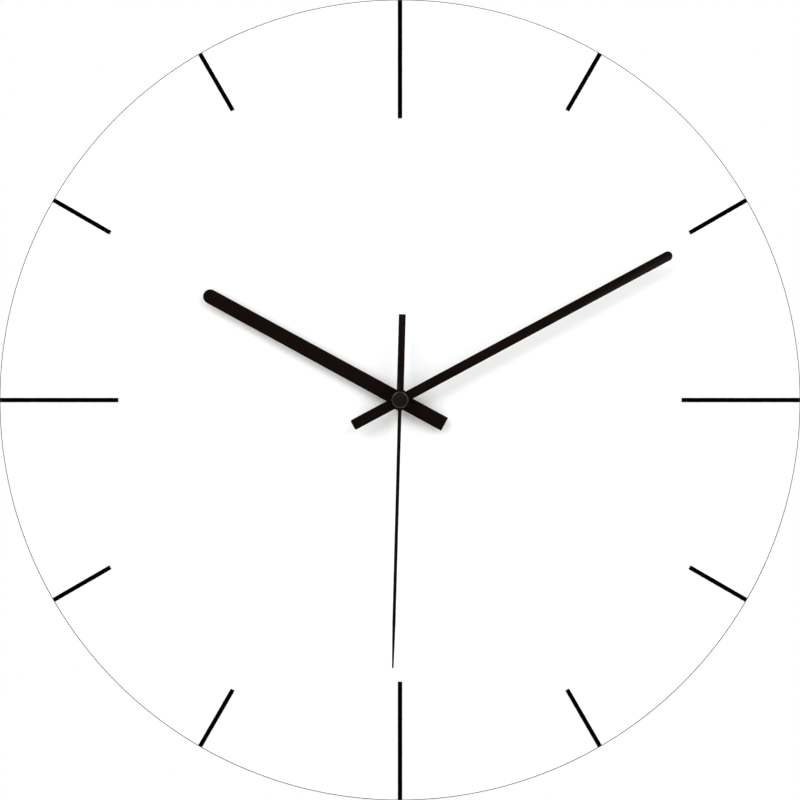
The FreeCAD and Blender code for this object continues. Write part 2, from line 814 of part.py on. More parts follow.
def make_minute_tube():
    """The steel minute tube, with the cannon pinion, its plate bearing and the clutch seat."""
    body = new_body("minute_tube")
    teeth = size["cannon_pinion_teeth"]
    module = gear_module(motion_centres, teeth, size["motion_wheel_teeth"])
    toothed_rim(body, cannon_rear, cannon_front, teeth, module,
                size["motion_direction"] + half_pitch(teeth), wheel=False)
    disc(body, minute_wheel_rear, sleeve_rear, size["clutch_radius"])
    disc(body, sleeve_rear, cannon_rear, size["cannon_sleeve_radius"])
    disc(body, cannon_front, minute_tube_front, size["minute_tube_radius"])
    hole = size["second_arbor_radius"] + size["running_gap"]
    bore(body, minute_wheel_rear, minute_tube_front, hole)


def make_minute_wheel():
    """The friction-fitted wheel that the third pinion drives."""
    body = new_body("minute_wheel")
    teeth = size["minute_wheel_teeth"]
    module = gear_module(size["train_centres"], size["small_pinion_teeth"], teeth)
    toothed_rim(body, minute_wheel_rear, minute_wheel_front, teeth, module,
                size["third_direction"], wheel=True)
    hole = size["clutch_radius"] + size["press_gap"]
    bore(body, minute_wheel_rear, minute_wheel_front, hole)


def make_motion_wheel():
    """The wheel and pinion that step the minute tube down to the hour tube."""
    body = new_body("motion_wheel", motion_place)
    inward = size["motion_direction"] + HALF_TURN
    wheel = size["motion_wheel_teeth"]
    module = gear_module(motion_centres, size["cannon_pinion_teeth"], wheel)
    toothed_rim(body, motion_wheel_rear, motion_wheel_front, wheel, module, inward, wheel=True)
    pinion = size["small_pinion_teeth"]
    module = gear_module(motion_centres, pinion, size["hour_wheel_teeth"])
    toothed_rim(body, motion_wheel_front, motion_pinion_front, pinion, module,
                inward + half_pitch(pinion), wheel=False)
    hole = size["motion_shaft_radius"] + size["press_gap"]
    bore(body, motion_wheel_rear, motion_pinion_front, hole)


def make_hour_wheel():
    """The hour wheel and the outermost tube of the spindle, in one moulding."""
    body = new_body("hour_wheel")
    teeth = size["hour_wheel_teeth"]
    module = gear_module(motion_centres, size["small_pinion_teeth"], teeth)
    toothed_rim(body, hour_wheel_rear, hour_wheel_front, teeth, module,
                size["motion_direction"], wheel=True)
    boss_front = hour_wheel_front + size["hour_boss_length"]
    disc(body, hour_wheel_front, boss_front, hour_boss_radius)
    disc(body, boss_front, hour_tube_front, size["hour_tube_radius"])
    hole = size["minute_tube_radius"] + size["running_gap"]
    bore(body, hour_wheel_rear, hour_tube_front, hole)


def make_setting_knob():
    """The fluted knob on the back with the shaft that turns the motion wheel."""
    body = new_body("setting_knob", motion_place)
    rear = size["knob_recess"]
    disc(body, rear, knob_front, size["knob_radius"])
    sketch = facing_sketch(body, knob_front)
    circle(sketch, size["knob_flute_radius"], (NOTHING, size["knob_radius"]))
    flute = pocket(body, sketch, size["knob_thickness"])
    ring_of(body, [flute], size["knob_flutes"])
    disc(body, knob_front, inside_front + size["front_wall"] / 2 - size["axial_gap"],
         size["motion_shaft_radius"])


# ---- Middle plate, motor and circuit ----


def make_middle_plate():
    """The plate between the train and the motion work, with its bearing holes."""
    body = new_body("middle_plate")
    block(body, plate_rear, plate_front,
          size["plate_left"], size["plate_right"], size["plate_low"], size["plate_high"])
    pivot = size["train_arbor_radius"] + size["pivot_gap"]
    bore(body, plate_rear, plate_front, size["cannon_sleeve_radius"] + size["running_gap"])
    for place in (third_place, intermediate_place, rotor_place):
        bore(body, plate_rear, plate_front, pivot, place)
    bore(body, plate_rear, plate_front, size["motion_shaft_radius"] + size["boss_gap"], motion_place)
    for place in PLATE_POSTS:
        bore(body, plate_rear, plate_front, size["post_pin_radius"] + size["pin_gap"], place)


def make_stator():
    """The U-shaped stator sheet with the rotor hole and its two detent notches."""
    body = new_body("stator")
    low = rotor_place[1] - size["stator_half_height"]
    high = rotor_place[1] + size["stator_half_height"]
    top = size["core_up"] + size["core_half_width"]
    left = size["stator_left"]
    right = size["stator_right"]
    leg = size["stator_leg_width"]
    sketch = facing_sketch(body, stator_rear)
    outline(sketch, [
        (left, low), (right, low), (right, top), (right - leg, top),
        (right - leg, high), (left + leg, high), (left + leg, top), (left, top),
    ])
    pad(body, sketch, size["stator_thickness"])
    bore(body, stator_rear, stator_front, size["rotor_hole_radius"], rotor_place)
    notch = size["rotor_hole_radius"]
    for across, up in ((notch, NOTHING), (-notch, NOTHING)):
        place = (rotor_place[0] + across, rotor_place[1] + up)
        bore(body, stator_rear, stator_front, size["rotor_notch_radius"], place)
    for place in CORE_POSTS:
        bore(body, stator_rear, stator_front, size["post_pin_radius"] + size["pin_gap"], place)


def make_coil():
    """The laminated core, the bobbin round it, its winding and the two leads to the board."""
    core = new_body("coil_core")
    up = size["core_up"]
    half = size["core_half_width"]
    block(core, stator_front, core_front, size["stator_left"], size["stator_right"], up - half, up + half)
    for place in CORE_POSTS:
        bore(core, stator_front, core_front, size["post_pin_radius"] + size["pin_gap"], place)

    left = size["bobbin_left"]
    right = size["bobbin_right"]
    flange = size["bobbin_flange"]
    bobbin = new_body("coil_bobbin", (NOTHING, up), coil_depth)
    turned(bobbin, [
        (left, NOTHING), (right, NOTHING), (right, size["bobbin_radius"]),
        (right - flange, size["bobbin_radius"]), (right - flange, size["bobbin_tube_radius"]),
        (left + flange, size["bobbin_tube_radius"]), (left + flange, size["bobbin_radius"]),
        (left, size["bobbin_radius"]),
    ], "X_Axis")
    sketch = new_sketch(bobbin, "YZ_Plane", right)
    half_slot = size["core_thickness"] / 2 + size["lap_gap"]
    rectangle(sketch, -half_slot, half_slot, -half - size["lap_gap"], half + size["lap_gap"])
    pocket(bobbin, sketch, right - left)

    winding = new_body("coil_winding", (NOTHING, up), coil_depth)
    inner = size["bobbin_tube_radius"] + size["press_gap"]
    ends = (left + flange + size["press_gap"], right - flange - size["press_gap"])
    turned(winding, [
        (ends[0], inner), (ends[1], inner), (ends[1], size["winding_radius"]),
        (ends[0], size["winding_radius"]),
    ], "X_Axis")

    leads = new_body("coil_leads")
    radius = size["coil_lead_radius"]
    start = size["board_right"] - size["coil_lead_landing"]
    sketch = new_sketch(leads, "YZ_Plane", start)
    depth = board_front + radius
    for step in (-1, 1):
        circle(sketch, radius, (-depth, up + size["coil_lead_spread"] * step))
    pad(leads, sketch, left - start)


def make_circuit():
    """The circuit board with its chip under a resin drop and the quartz crystal can."""
    board = new_body("circuit_board")
    block(board, board_rear, board_front,
          size["board_left"], size["board_right"], size["board_low"], size["board_high"])
    for place in BOARD_POSTS:
        bore(board, board_rear, board_front, size["post_pin_radius"] + size["pin_gap"], place)

    chip = new_body("chip_blob", (size["chip_across"], size["chip_up"]))
    radius = size["chip_radius"]
    top = board_front + size["chip_height"]
    shoulder = board_front + size["chip_height"] / 2
    turned(chip, [
        (NOTHING, board_front), (radius, board_front), (radius - size["chip_slope"], shoulder),
        (radius / 2, top - size["chip_crown"]), (NOTHING, top),
    ])

    crystal = document.addObject("Part::Cylinder", "quartz_crystal")
    bind(crystal, "Radius", size["crystal_radius"])
    bind(crystal, "Height", size["crystal_length"])
    put(crystal, (size["crystal_across"], size["crystal_low"]), board_front + size["crystal_radius"])


# ---- Battery and its contacts ----


def make_battery():
    """One AA cell: the steel can, its printed sleeve and the flat negative end."""
    can = new_body("battery_can", (NOTHING, battery_up), battery_depth)
    core = size["battery_radius"] - size["battery_sleeve_wall"] - size["press_gap"]
    shoulder = battery_left + size["battery_nub_length"]
    base = battery_right - size["battery_base_height"]
    turned(can, [
        (battery_left, NOTHING), (battery_left, size["battery_nub_radius"]),
        (shoulder, size["battery_nub_radius"]), (shoulder, core - size["battery_shoulder"]),
        (shoulder + size["battery_shoulder"], core), (base, core), (base, NOTHING),
    ], "X_Axis")
    sleeve = new_body("battery_sleeve", (NOTHING, battery_up), battery_depth)
    turned(sleeve, [
        (shoulder + size["battery_shoulder"], core + size["press_gap"]),
        (shoulder + size["battery_shoulder"], size["battery_radius"]),
        (base, size["battery_radius"]), (base, core + size["press_gap"]),
    ], "X_Axis")
    cap = new_body("battery_base", (NOTHING, battery_up), battery_depth)
    turned(cap, [
        (base, NOTHING), (base, size["battery_base_radius"]),
        (battery_right, size["battery_base_radius"]), (battery_right, NOTHING),
    ], "X_Axis")


def make_positive_contact():
    """The flat strip at the nub's end, with a tail up to a tab behind the circuit board."""
    body = new_body("positive_contact")
    thickness = size["contact_thickness"]
    half = size["contact_half_width"]
    left = -inner_half
    right = left + thickness
    front = board_rear
    tab_low = size["board_low"] + thickness
    tab_high = tab_low + size["contact_tab_height"]
    block(body, battery_depth - half, battery_depth + half,
          left, right, battery_up - half, battery_up + half)
    block(body, front - size["contact_strip_width"], front, left, right, battery_up + half, tab_high)
    block(body, front - thickness, front, right, size["board_left"] + size["contact_tab_overlap"],
          tab_low, tab_high)


def make_negative_contact():
    """The sprung leaf at the flat end, with a strip along the bay's wall to the circuit board."""
    body = new_body("negative_contact")
    thickness = size["contact_thickness"]
    outer = inner_half
    back = outer - thickness
    touch = battery_right + size["contact_gap"]
    low = battery_up - size["contact_half_width"]
    high = battery_up + size["contact_half_width"]
    middle = size["leaf_touch_height"]
    end = high - size["leaf_return"]
    half = size["leaf_half_width"]
    sketch = facing_sketch(body, battery_depth - half)
    outline(sketch, [
        (outer, low - thickness), (outer, high), (back, high), (back, low),
        (touch + thickness, battery_up - middle), (touch + thickness, battery_up + middle),
        (back - thickness, end), (back - thickness * 2, end),
        (touch, battery_up + middle), (touch, battery_up - middle), (back - thickness, low - thickness),
    ])
    pad(body, sketch, half * 2)
    strip_low = bay_top + size["boss_gap"]
    strip_high = strip_low + thickness
    front = board_rear
    rear = front - size["contact_strip_width"]
    tab_left = size["board_right"] - size["contact_tab_overlap"] * 2
    block(body, rear, front, back, outer, high, strip_high)
    block(body, rear, front, tab_left, outer, strip_low, strip_high)
    block(body, front - thickness, front, tab_left, size["board_right"],
          strip_low, size["board_low"] + size["contact_tab_height"])


# ---- Case ----


def around_four_sides(sketch, inner, outer, half_width):
    """A rectangle on each side of the case, between two distances from the spindle."""
    rectangle(sketch, -half_width, half_width, inner, outer)
    rectangle(sketch, -half_width, half_width, -outer, -inner)
    rectangle(sketch, inner, outer, -half_width, half_width)
    rectangle(sketch, -outer, -inner, -half_width, half_width)


def case_square(sketch, half):
    """A square line of the case, whose corners keep the walls even."""
    rounded_square(sketch, half, size["case_corner"] - (case_half - half))


def square_ring(body, rear, front, outer, inner):
    sketch = facing_sketch(body, rear)
    case_square(sketch, outer)
    case_square(sketch, inner)
    pad(body, sketch, front - rear)


def make_front_case():
    """The front half of the case: a shallow tray with the spindle boss and the plate posts."""
    body = new_body("front_case")
    lap_front = size["split_depth"] + size["lap_length"] + size["lap_gap"]
    sketch = facing_sketch(body, inside_front)
    case_square(sketch, case_half)
    pad(body, sketch, size["front_wall"])
    square_ring(body, lap_front, inside_front, case_half, inner_half)
    square_ring(body, size["split_depth"], lap_front, case_half, lap_line + size["lap_gap"] / 2)
    boss_front = dial_front - size["boss_recess"]
    disc(body, size["case_depth"], boss_front, spindle_boss_radius)
    bore(body, inside_front, boss_front, size["hour_tube_radius"] + size["running_gap"])

    motion_boss_rear = motion_pinion_front + size["axial_gap"]
    shaft_gap = size["motion_shaft_radius"] + size["pivot_gap"]
    disc(body, motion_boss_rear, inside_front, shaft_gap + size["case_wall"], motion_place)
    bore(body, motion_boss_rear, inside_front + size["front_wall"] / 2, shaft_gap, motion_place)

    for place in PLATE_POSTS:
        disc(body, plate_front, inside_front, size["post_radius"], place)
        disc(body, plate_rear - size["pin_overrun"], plate_front, size["post_pin_radius"], place)
    for place in CORE_POSTS:
        disc(body, core_front, inside_front, size["post_radius"], place)
        disc(body, stator_rear - size["pin_overrun"], core_front, size["post_pin_radius"], place)

    window = facing_sketch(body, lap_front - size["lap_gap"])
    around_four_sides(window, lap_line, case_half + CUT_MARGIN, size["snap_width"] / 2 + size["lap_gap"])
    pocket(body, window, size["snap_height"] + size["lap_gap"] * 2)


def make_rear_case():
    """The rear half: the hanger, the battery bay, the knob well and the pivot bosses."""
    body = new_body("rear_case")
    wall = size["case_wall"]
    lap_front = size["split_depth"] + size["lap_length"]
    sketch = facing_sketch(body, NOTHING)
    case_square(sketch, case_half)
    pad(body, sketch, wall)
    square_ring(body, wall, size["split_depth"], case_half, inner_half)
    square_ring(body, size["split_depth"], lap_front, lap_line - size["lap_gap"] / 2, inner_half)
    snap = facing_sketch(body, lap_front - size["lap_gap"] - size["snap_height"])
    lip = lap_line - size["lap_gap"] / 2
    around_four_sides(snap, lip - size["snap_root"], lip + size["snap_reach"], size["snap_width"] / 2)
    pad(body, snap, size["snap_height"])

    bay_half = inner_half - size["bay_end_slot"]
    block(body, NOTHING, inside_front - size["axial_gap"], -bay_half, bay_half, bay_high, bay_top)
    bay = facing_sketch(body, wall)
    rectangle(bay, -inner_half, inner_half, -inner_half, bay_high)
    pocket(body, bay, wall)

    well = size["knob_radius"] + size["knob_well_gap"]
    well_floor = knob_front + size["axial_gap"]
    well_front = well_floor + size["knob_floor"]
    disc(body, NOTHING, well_front, well + size["knob_well_wall"], motion_place)
    bore(body, NOTHING, well_floor, well, motion_place)
    bore(body, well_floor, well_front, size["motion_shaft_radius"] + size["pivot_gap"], motion_place)

    arbors = [
        ((NOTHING, NOTHING), second_wheel_rear - size["axial_gap"], size["second_arbor_radius"]),
        (third_place, second_wheel_rear - size["axial_gap"], size["train_arbor_radius"]),
        (intermediate_place, intermediate_wheel_rear - size["axial_gap"], size["train_arbor_radius"]),
        (rotor_place, magnet_rear - size["axial_gap"], size["train_arbor_radius"]),
    ]
    for place, top, arbor in arbors:
        disc(body, wall, top, size["pivot_boss_radius"], place)
        bore(body, top - size["pivot_depth"], top, arbor + size["pivot_gap"], place)

    for place in BOARD_POSTS:
        disc(body, wall, board_rear, size["post_radius"], place)
        disc(body, board_rear, board_front + size["pin_overrun"], size["post_pin_radius"], place)
    rest_up = rotor_place[1]
    for across, _ in CORE_POSTS:
        disc(body, wall, stator_rear, size["post_radius"], (across, rest_up))
    add_hanger(body)


def add_hanger(body):
    """The flat lug above the case, with a keyhole for the head and neck of a nail."""
    drop = hanger_drop
    half = size["hanger_half_width"]
    slot = size["hanger_slot_radius"]
    slot_up = drop + size["hanger_slot_rise"]
    top = slot_up + slot + size["hanger_rim"]
    shoulder = half - (slot + size["hanger_rim"])
    thickness = size["hanger_thickness"]
    sketch = facing_sketch(body, NOTHING)
    outline(sketch, [
        (-half, inner_half), (half, inner_half), (half, top - shoulder), (half - shoulder, top),
        (shoulder - half, top), (-half, top - shoulder),
    ])
    pad(body, sketch, thickness)
    bore(body, NOTHING, thickness, size["hanger_eye_radius"], (NOTHING, drop))
    bore(body, NOTHING, thickness, slot, (NOTHING, slot_up))
    neck = facing_sketch(body, thickness)
    rectangle(neck, -slot, slot, drop, slot_up)
    pocket(body, neck, thickness)


def make_foam_tape():
    """The square double-sided pad that bonds the case to the dial."""
    body = new_body("foam_tape")
    sketch = facing_sketch(body, size["case_depth"])
    rounded_square(sketch, size["tape_width"] / 2, size["tape_corner"])
    circle(sketch, size["tape_hole_radius"])
    pad(body, sketch, size["tape_thickness"])


# ---- The whole clock ----


def make_clock():
    make_dial()
    make_marks("quarter_marks", size["quarter_mark_length"], [NOTHING])
    make_marks("hour_marks", size["hour_mark_length"], [HOUR_STEP, HOUR_STEP * 2])
    make_hand("hour", hour_hand_rear, size["hour_hand_turn"], size["hour_tube_radius"])
    make_bush("hour", hour_hand_rear, size["hour_tube_radius"])
    make_hand("minute", minute_hand_rear, size["minute_hand_turn"], size["minute_tube_radius"])
    make_bush("minute", minute_hand_rear, size["minute_tube_radius"])
    make_second_hand()
    make_second_hub()
    make_second_arbor()
    make_second_wheel()
    make_third_wheel()
    make_intermediate_wheel()
    make_rotor()
    make_minute_tube()
    make_minute_wheel()
    make_motion_wheel()
    make_hour_wheel()
    make_setting_knob()
    make_middle_plate()
    make_stator()
    make_coil()
    make_circuit()
    make_battery()
    make_positive_contact()
    make_negative_contact()
    make_front_case()
    make_rear_case()
    make_foam_tape()


def sub_parts():
    solid_types = ("PartDesign::Body", "Part::Cylinder")
    return [thing for thing in document.Objects if thing.TypeId in solid_types]


def check_model():
    """Stop if any feature failed or any sub-part has no sound shape."""
    for thing in document.Objects:
        if "Invalid" in thing.State or "Error" in thing.State:
            raise ValueError(f"{thing.Label} failed: {thing.State}")
    for part in sub_parts():
        if part.Shape.isNull() or not part.Shape.isValid() or not part.Shape.Solids:
            raise ValueError(f"{part.Label} has no sound solid")


def export_model():
    os.makedirs("parts", exist_ok=True)
    for part in sub_parts():
        part.Shape.exportStep(f"parts/{part.Label}.step")


make_clock()
document.recompute()
check_model()
export_model()
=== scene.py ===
"""Looks of a frameless wall clock: a white acrylic disc, black marks and hands, and a movement behind.

Every class below is one sub-assembly. Its fields are its sizes in millimetres, its methods build its
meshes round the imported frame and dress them. Depths are counted forward from the wall plane, so depth d
is y = -d.
"""

import logging
import math
from collections.abc import Callable, Iterator, Sequence
from contextlib import contextmanager
from dataclasses import dataclass, field, replace
from enum import Enum

import bmesh
import bpy
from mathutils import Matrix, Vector


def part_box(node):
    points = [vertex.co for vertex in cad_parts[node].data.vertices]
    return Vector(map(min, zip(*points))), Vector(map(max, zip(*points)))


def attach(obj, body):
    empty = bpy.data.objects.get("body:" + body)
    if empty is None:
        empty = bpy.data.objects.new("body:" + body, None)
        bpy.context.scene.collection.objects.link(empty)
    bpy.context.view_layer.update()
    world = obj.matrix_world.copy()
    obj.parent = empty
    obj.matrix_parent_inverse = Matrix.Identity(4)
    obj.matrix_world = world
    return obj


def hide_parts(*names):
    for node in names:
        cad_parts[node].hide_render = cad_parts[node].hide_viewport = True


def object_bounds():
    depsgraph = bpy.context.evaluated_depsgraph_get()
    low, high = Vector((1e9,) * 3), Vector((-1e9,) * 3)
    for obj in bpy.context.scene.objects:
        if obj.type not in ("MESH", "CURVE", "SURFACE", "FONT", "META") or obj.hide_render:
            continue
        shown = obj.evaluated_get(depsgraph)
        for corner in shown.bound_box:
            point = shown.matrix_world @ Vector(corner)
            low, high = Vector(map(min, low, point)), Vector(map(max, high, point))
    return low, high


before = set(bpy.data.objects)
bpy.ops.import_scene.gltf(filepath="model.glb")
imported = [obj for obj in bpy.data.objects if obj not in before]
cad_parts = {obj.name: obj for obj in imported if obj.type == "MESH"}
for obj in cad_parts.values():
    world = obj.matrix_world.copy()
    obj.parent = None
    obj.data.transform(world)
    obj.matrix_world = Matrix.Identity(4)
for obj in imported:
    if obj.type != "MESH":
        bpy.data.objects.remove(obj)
cad_low, cad_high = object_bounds()

MM = 0.001
QUARTER_TURN = math.pi / 2
FULL_TURN = math.tau
# The turn, in degrees, that lays a piece made along Y down along X.
LAID_OVER = 90
# An edge that turns by more than this is sharp.
SMOOTH_ANGLE = math.radians(32)
# Neighbouring faces that turn by less than this are one flat.
FLAT_ANGLE = math.radians(0.5)
# Points closer than this are one point.
MERGE_MM = 0.002
# How far a tool solid runs past the face that it cuts, or into the piece that it joins.
OVERRUN_MM = 1.0
ROUND_SIDES = 64
# How much of a face's normal lies along the Y axis: more than the first on any slope, less than the
# second on a side wall, more than the third on an end face.
LEVEL, SIDEWAYS, ENDWAYS = 0.002, 0.5, 0.9
# The two pieces of the sRGB curve: where they meet, the straight one's slope, the other's shape.
SRGB_KNEE, SRGB_SLOPE, SRGB_OFFSET, SRGB_GAMMA = 0.04045, 12.92, 0.055, 2.4
NOISE_DETAIL, NOISE_ROUGHNESS = 3.0, 0.55
# Nearly all of a noise's values lie between these.
NOISE_LOW, NOISE_HIGH = 0.3, 0.7
# How many times finer a finish's patches of gloss are than its patches of colour.
GLOSS_FINENESS = 3
# Sockets of a colour mix, which share their names with the mix's other kinds.
MIX_AMOUNT, MIX_FIRST, MIX_SECOND, MIX_RESULT = 0, 6, 7, 2

logging.basicConfig(level=logging.INFO, format="%(levelname)s %(message)s")
log = logging.getLogger("wall_clock")

Point = tuple[float, float]
Place = tuple[float, float, float]
Socket = bpy.types.NodeSocket


class Body(Enum):
    """The moving bodies that new pieces ride on."""

    CASE = "case"
    SECOND = "second"
    MINUTE = "minute"
    MOTION = "motion"
    HOUR = "hour"
    BATTERY = "battery"


class Combine(Enum):
    """How a tool solid changes the piece it is put to."""

    JOIN = "UNION"
    CUT = "DIFFERENCE"


class Axis(Enum):
    """The axis a round piece was turned about."""

    ACROSS = "X"
    TO_WALL = "Y"
    UP = "Z"


# ---- Measures and colours ----


def linear(hex_colour: str) -> tuple[float, float, float, float]:
    """Turns an sRGB colour to the linear one that shaders take.

    Args:
        hex_colour: Six hex digits, such as "F4F4F2".

    Returns:
        Red, green, blue and an alpha of one.
    """
    channels = [int(hex_colour[i:i + 2], 16) / 255 for i in (0, 2, 4)]
    red, green, blue = [
        c / SRGB_SLOPE if c <= SRGB_KNEE else ((c + SRGB_OFFSET) / (1 + SRGB_OFFSET)) ** SRGB_GAMMA
        for c in channels
    ]
    return red, green, blue, 1.0


def per_metre(grain_mm: float) -> float:
    """Returns the texture scale that gives features of a size in millimetres on Object coordinates."""
    return 1 / (grain_mm * MM)


def noise_of(grain_mm: float) -> dict[str, object]:
    """Returns the settings of a noise with features of a size in millimetres."""
    return {"Scale": per_metre(grain_mm), "Detail": NOISE_DETAIL, "Roughness": NOISE_ROUGHNESS}


def spot(across: float, depth: float, up: float) -> Vector:
    """Returns the place, in metres, at distances in millimetres from the frame's origin."""
    return Vector((across, -depth, up)) * MM


@dataclass(frozen=True)
class Extent:
    """The box of a CAD node at rest, in metres."""

    low: Vector
    high: Vector

    @classmethod
    def of(cls, node: str) -> "Extent":
        """Returns the box of the CAD node of that name."""
        return cls(*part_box(node))

    @property
    def centre(self) -> Vector:
        """The middle of the box."""
        return (self.low + self.high) / 2

    @property
    def rear(self) -> float:
        """The depth of the side towards the wall, in millimetres."""
        return -self.high.y / MM

    @property
    def front(self) -> float:
        """The depth of the side away from the wall, in millimetres."""
        return -self.low.y / MM


# ---- Modelling by hand ----


def deselect_all() -> None:
    """Leaves nothing selected, so that an operator acts on the new piece alone."""
    for thing in bpy.context.selected_objects:
        thing.select_set(False)


def take_up(piece: bpy.types.Object) -> None:
    """Makes a piece the only selected and active object.

    Args:
        piece: The object to work on next.
    """
    deselect_all()
    piece.select_set(True)
    bpy.context.view_layer.objects.active = piece


def new_primitive(name: str) -> bpy.types.Object:
    """Names the primitive just added and writes its place into its mesh.

    Args:
        name: The name for the object and its mesh.

    Returns:
        The primitive's object.
    """
    piece = bpy.context.object
    piece.name = name
    piece.data.name = name
    settle(piece)
    return piece


def settle(piece: bpy.types.Object) -> None:
    """Writes a piece's place, turn and scale into its mesh, so the object sits at the origin."""
    take_up(piece)
    bpy.ops.object.transform_apply(location=True, rotation=True, scale=True)


@contextmanager
def editing(piece: bpy.types.Object, kind: str = "VERT") -> Iterator[None]:
    """Opens a piece in edit mode, with the given kind of element to select.

    Args:
        piece: The mesh object to open.
        kind: VERT, EDGE or FACE.
    """
    take_up(piece)
    bpy.ops.object.mode_set(mode="EDIT")
    bpy.ops.mesh.select_mode(type=kind)
    try:
        yield
    finally:
        bpy.ops.object.mode_set(mode="OBJECT")


def pick(piece: bpy.types.Object, kind: str, chosen: Callable[..., bool]) -> None:
    """Selects the elements of an open mesh that pass a test of their place or direction.

    Args:
        piece: The mesh object, open in edit mode.
        kind: VERT, EDGE or FACE.
        chosen: Says whether one bmesh element is wanted.
    """
    bpy.ops.mesh.select_mode(type=kind)
    bpy.ops.mesh.select_all(action="DESELECT")
    shape = bmesh.from_edit_mesh(piece.data)
    elements = {"VERT": shape.verts, "EDGE": shape.edges, "FACE": shape.faces}[kind]
    for element in [element for element in elements if chosen(element)]:
        element.select_set(True)
    bmesh.update_edit_mesh(piece.data)


def turned(name: str, profile: Sequence[Point], sides: int, hollow: bool = False) -> bpy.types.Object:
    """Turns a profile about the spindle line through the origin, ring by ring.

    Args:
        name: The piece's name.
        profile: Radius and depth of each ring, in millimetres.
        sides: How many sides the rings have.
        hollow: True if the last ring joins the first, False if both ends are capped.

    Returns:
        The new mesh object, closed, with its axis on the Y axis.
    """
    deselect_all()
    radius, depth = profile[0]
    bpy.ops.mesh.primitive_circle_add(
        vertices=sides, radius=radius * MM, fill_type="NOTHING",
        location=spot(0, depth, 0), rotation=(QUARTER_TURN, 0, 0),
    )
    piece = new_primitive(name)
    rings = list(profile[1:]) + ([profile[0]] if hollow else [])
    with editing(piece):
        bpy.ops.mesh.select_all(action="SELECT")
        for next_radius, next_depth in rings:
            step = (0, (depth - next_depth) * MM, 0)
            bpy.ops.mesh.extrude_region_move(TRANSFORM_OT_translate={"value": step})
            ratio = next_radius / radius
            bpy.ops.transform.resize(value=(ratio, 1, ratio), center_override=(0, 0, 0))
            radius, depth = next_radius, next_depth
        bpy.ops.mesh.select_all(action="SELECT")
        bpy.ops.mesh.remove_doubles(threshold=MERGE_MM * MM)
        if not hollow:
            bpy.ops.mesh.fill_holes(sides=0)
    face_outwards(piece)
    return piece


def ribbon(name: str, stations: Sequence[Point], rear: float, thickness: float) -> bpy.types.Object:
    """Draws a flat strip up the Z axis and thickens it forward.

    Args:
        name: The piece's name.
        stations: Width and height of each crossing line, in millimetres.
        rear: Depth of the strip's rear face.
        thickness: How thick the strip is.

    Returns:
        The new mesh object, closed.
    """
    deselect_all()
    width, up = stations[0]
    bpy.ops.mesh.primitive_plane_add(
        size=width * MM, location=spot(0, rear, up + width / 2), rotation=(QUARTER_TURN, 0, 0),
    )
    piece = new_primitive(name)
    with editing(piece):
        pick(piece, "VERT", lambda corner: corner.co.z > (up + width / 2) * MM)
        bpy.ops.mesh.delete(type="VERT")
        bpy.ops.mesh.select_all(action="SELECT")
        for next_width, next_up in stations[1:]:
            step = (0, 0, (next_up - up) * MM)
            bpy.ops.mesh.extrude_region_move(TRANSFORM_OT_translate={"value": step})
            bpy.ops.transform.resize(value=(next_width / width, 1, 1), center_override=(0, 0, 0))
            width, up = next_width, next_up
        bpy.ops.mesh.select_all(action="SELECT")
        bpy.ops.mesh.extrude_region_move(TRANSFORM_OT_translate={"value": (0, -thickness * MM, 0)})
    face_outwards(piece)
    return piece


def round_ends(piece: bpy.types.Object, radius: float, above: float, steps: int) -> None:
    """Rounds the corners of a strip that stand along Y beyond a height.

    Args:
        piece: The strip.
        radius: The corner radius, in millimetres.
        above: The corners above this height are rounded, or below it where it is negative.
        steps: How many faces each corner gets.
    """
    def is_corner(edge: bmesh.types.BMEdge) -> bool:
        """Says whether an edge runs along Y at the wanted end.

        Args:
            edge: An edge of the strip.

        Returns:
            True for an edge to round.
        """
        first, last = (v.co for v in edge.verts)
        beyond = first.z > above * MM if above > 0 else first.z < above * MM
        return beyond and abs(first.x - last.x) + abs(first.z - last.z) < MERGE_MM * MM

    with editing(piece, "EDGE"):
        pick(piece, "EDGE", is_corner)
        bpy.ops.mesh.bevel(offset=radius * MM, segments=steps, affect="EDGES")


def face_outwards(piece: bpy.types.Object) -> None:
    """Turns every face of a closed mesh outwards.

    Args:
        piece: The mesh object.
    """
    with editing(piece, "FACE"):
        bpy.ops.mesh.select_all(action="SELECT")
        bpy.ops.mesh.normals_make_consistent(inside=False)


def use_modifier(piece: bpy.types.Object, kind: str, **settings: object) -> None:
    """Adds one modifier with its settings and applies it.

    Args:
        piece: The mesh object.
        kind: Blender's modifier type.
        settings: The modifier's properties.
    """
    take_up(piece)
    modifier = piece.modifiers.new(kind.lower(), kind)
    for name, value in settings.items():
        setattr(modifier, name, value)
    bpy.ops.object.modifier_apply(modifier=modifier.name)


def combine(piece: bpy.types.Object, tool: bpy.types.Object, how: Combine) -> None:
    """Joins a tool solid to a piece or cuts it away, and clears the tool."""
    use_modifier(piece, "BOOLEAN", operation=how.value, object=tool, solver="EXACT")
    bpy.data.objects.remove(tool, do_unlink=True)


def tidy_faces(piece: bpy.types.Object) -> None:
    """Merges the flat faces that a join has cut up. It is not for a plate with holes through it.

    Args:
        piece: The mesh object.
    """
    with editing(piece, "FACE"):
        bpy.ops.mesh.select_all(action="SELECT")
        bpy.ops.mesh.dissolve_limited(angle_limit=FLAT_ANGLE)


def soften(piece: bpy.types.Object, width: float, steps: int = 2) -> None:
    """Rounds a piece's sharp edges and smooths its curved faces.

    Args:
        piece: The mesh object.
        width: How far each round reaches, in millimetres.
        steps: How many faces each round gets.
    """
    use_modifier(
        piece, "BEVEL", width=width * MM, segments=steps, limit_method="ANGLE", angle_limit=SMOOTH_ANGLE,
        miter_outer="MITER_ARC", harden_normals=False,
    )
    smooth(piece)


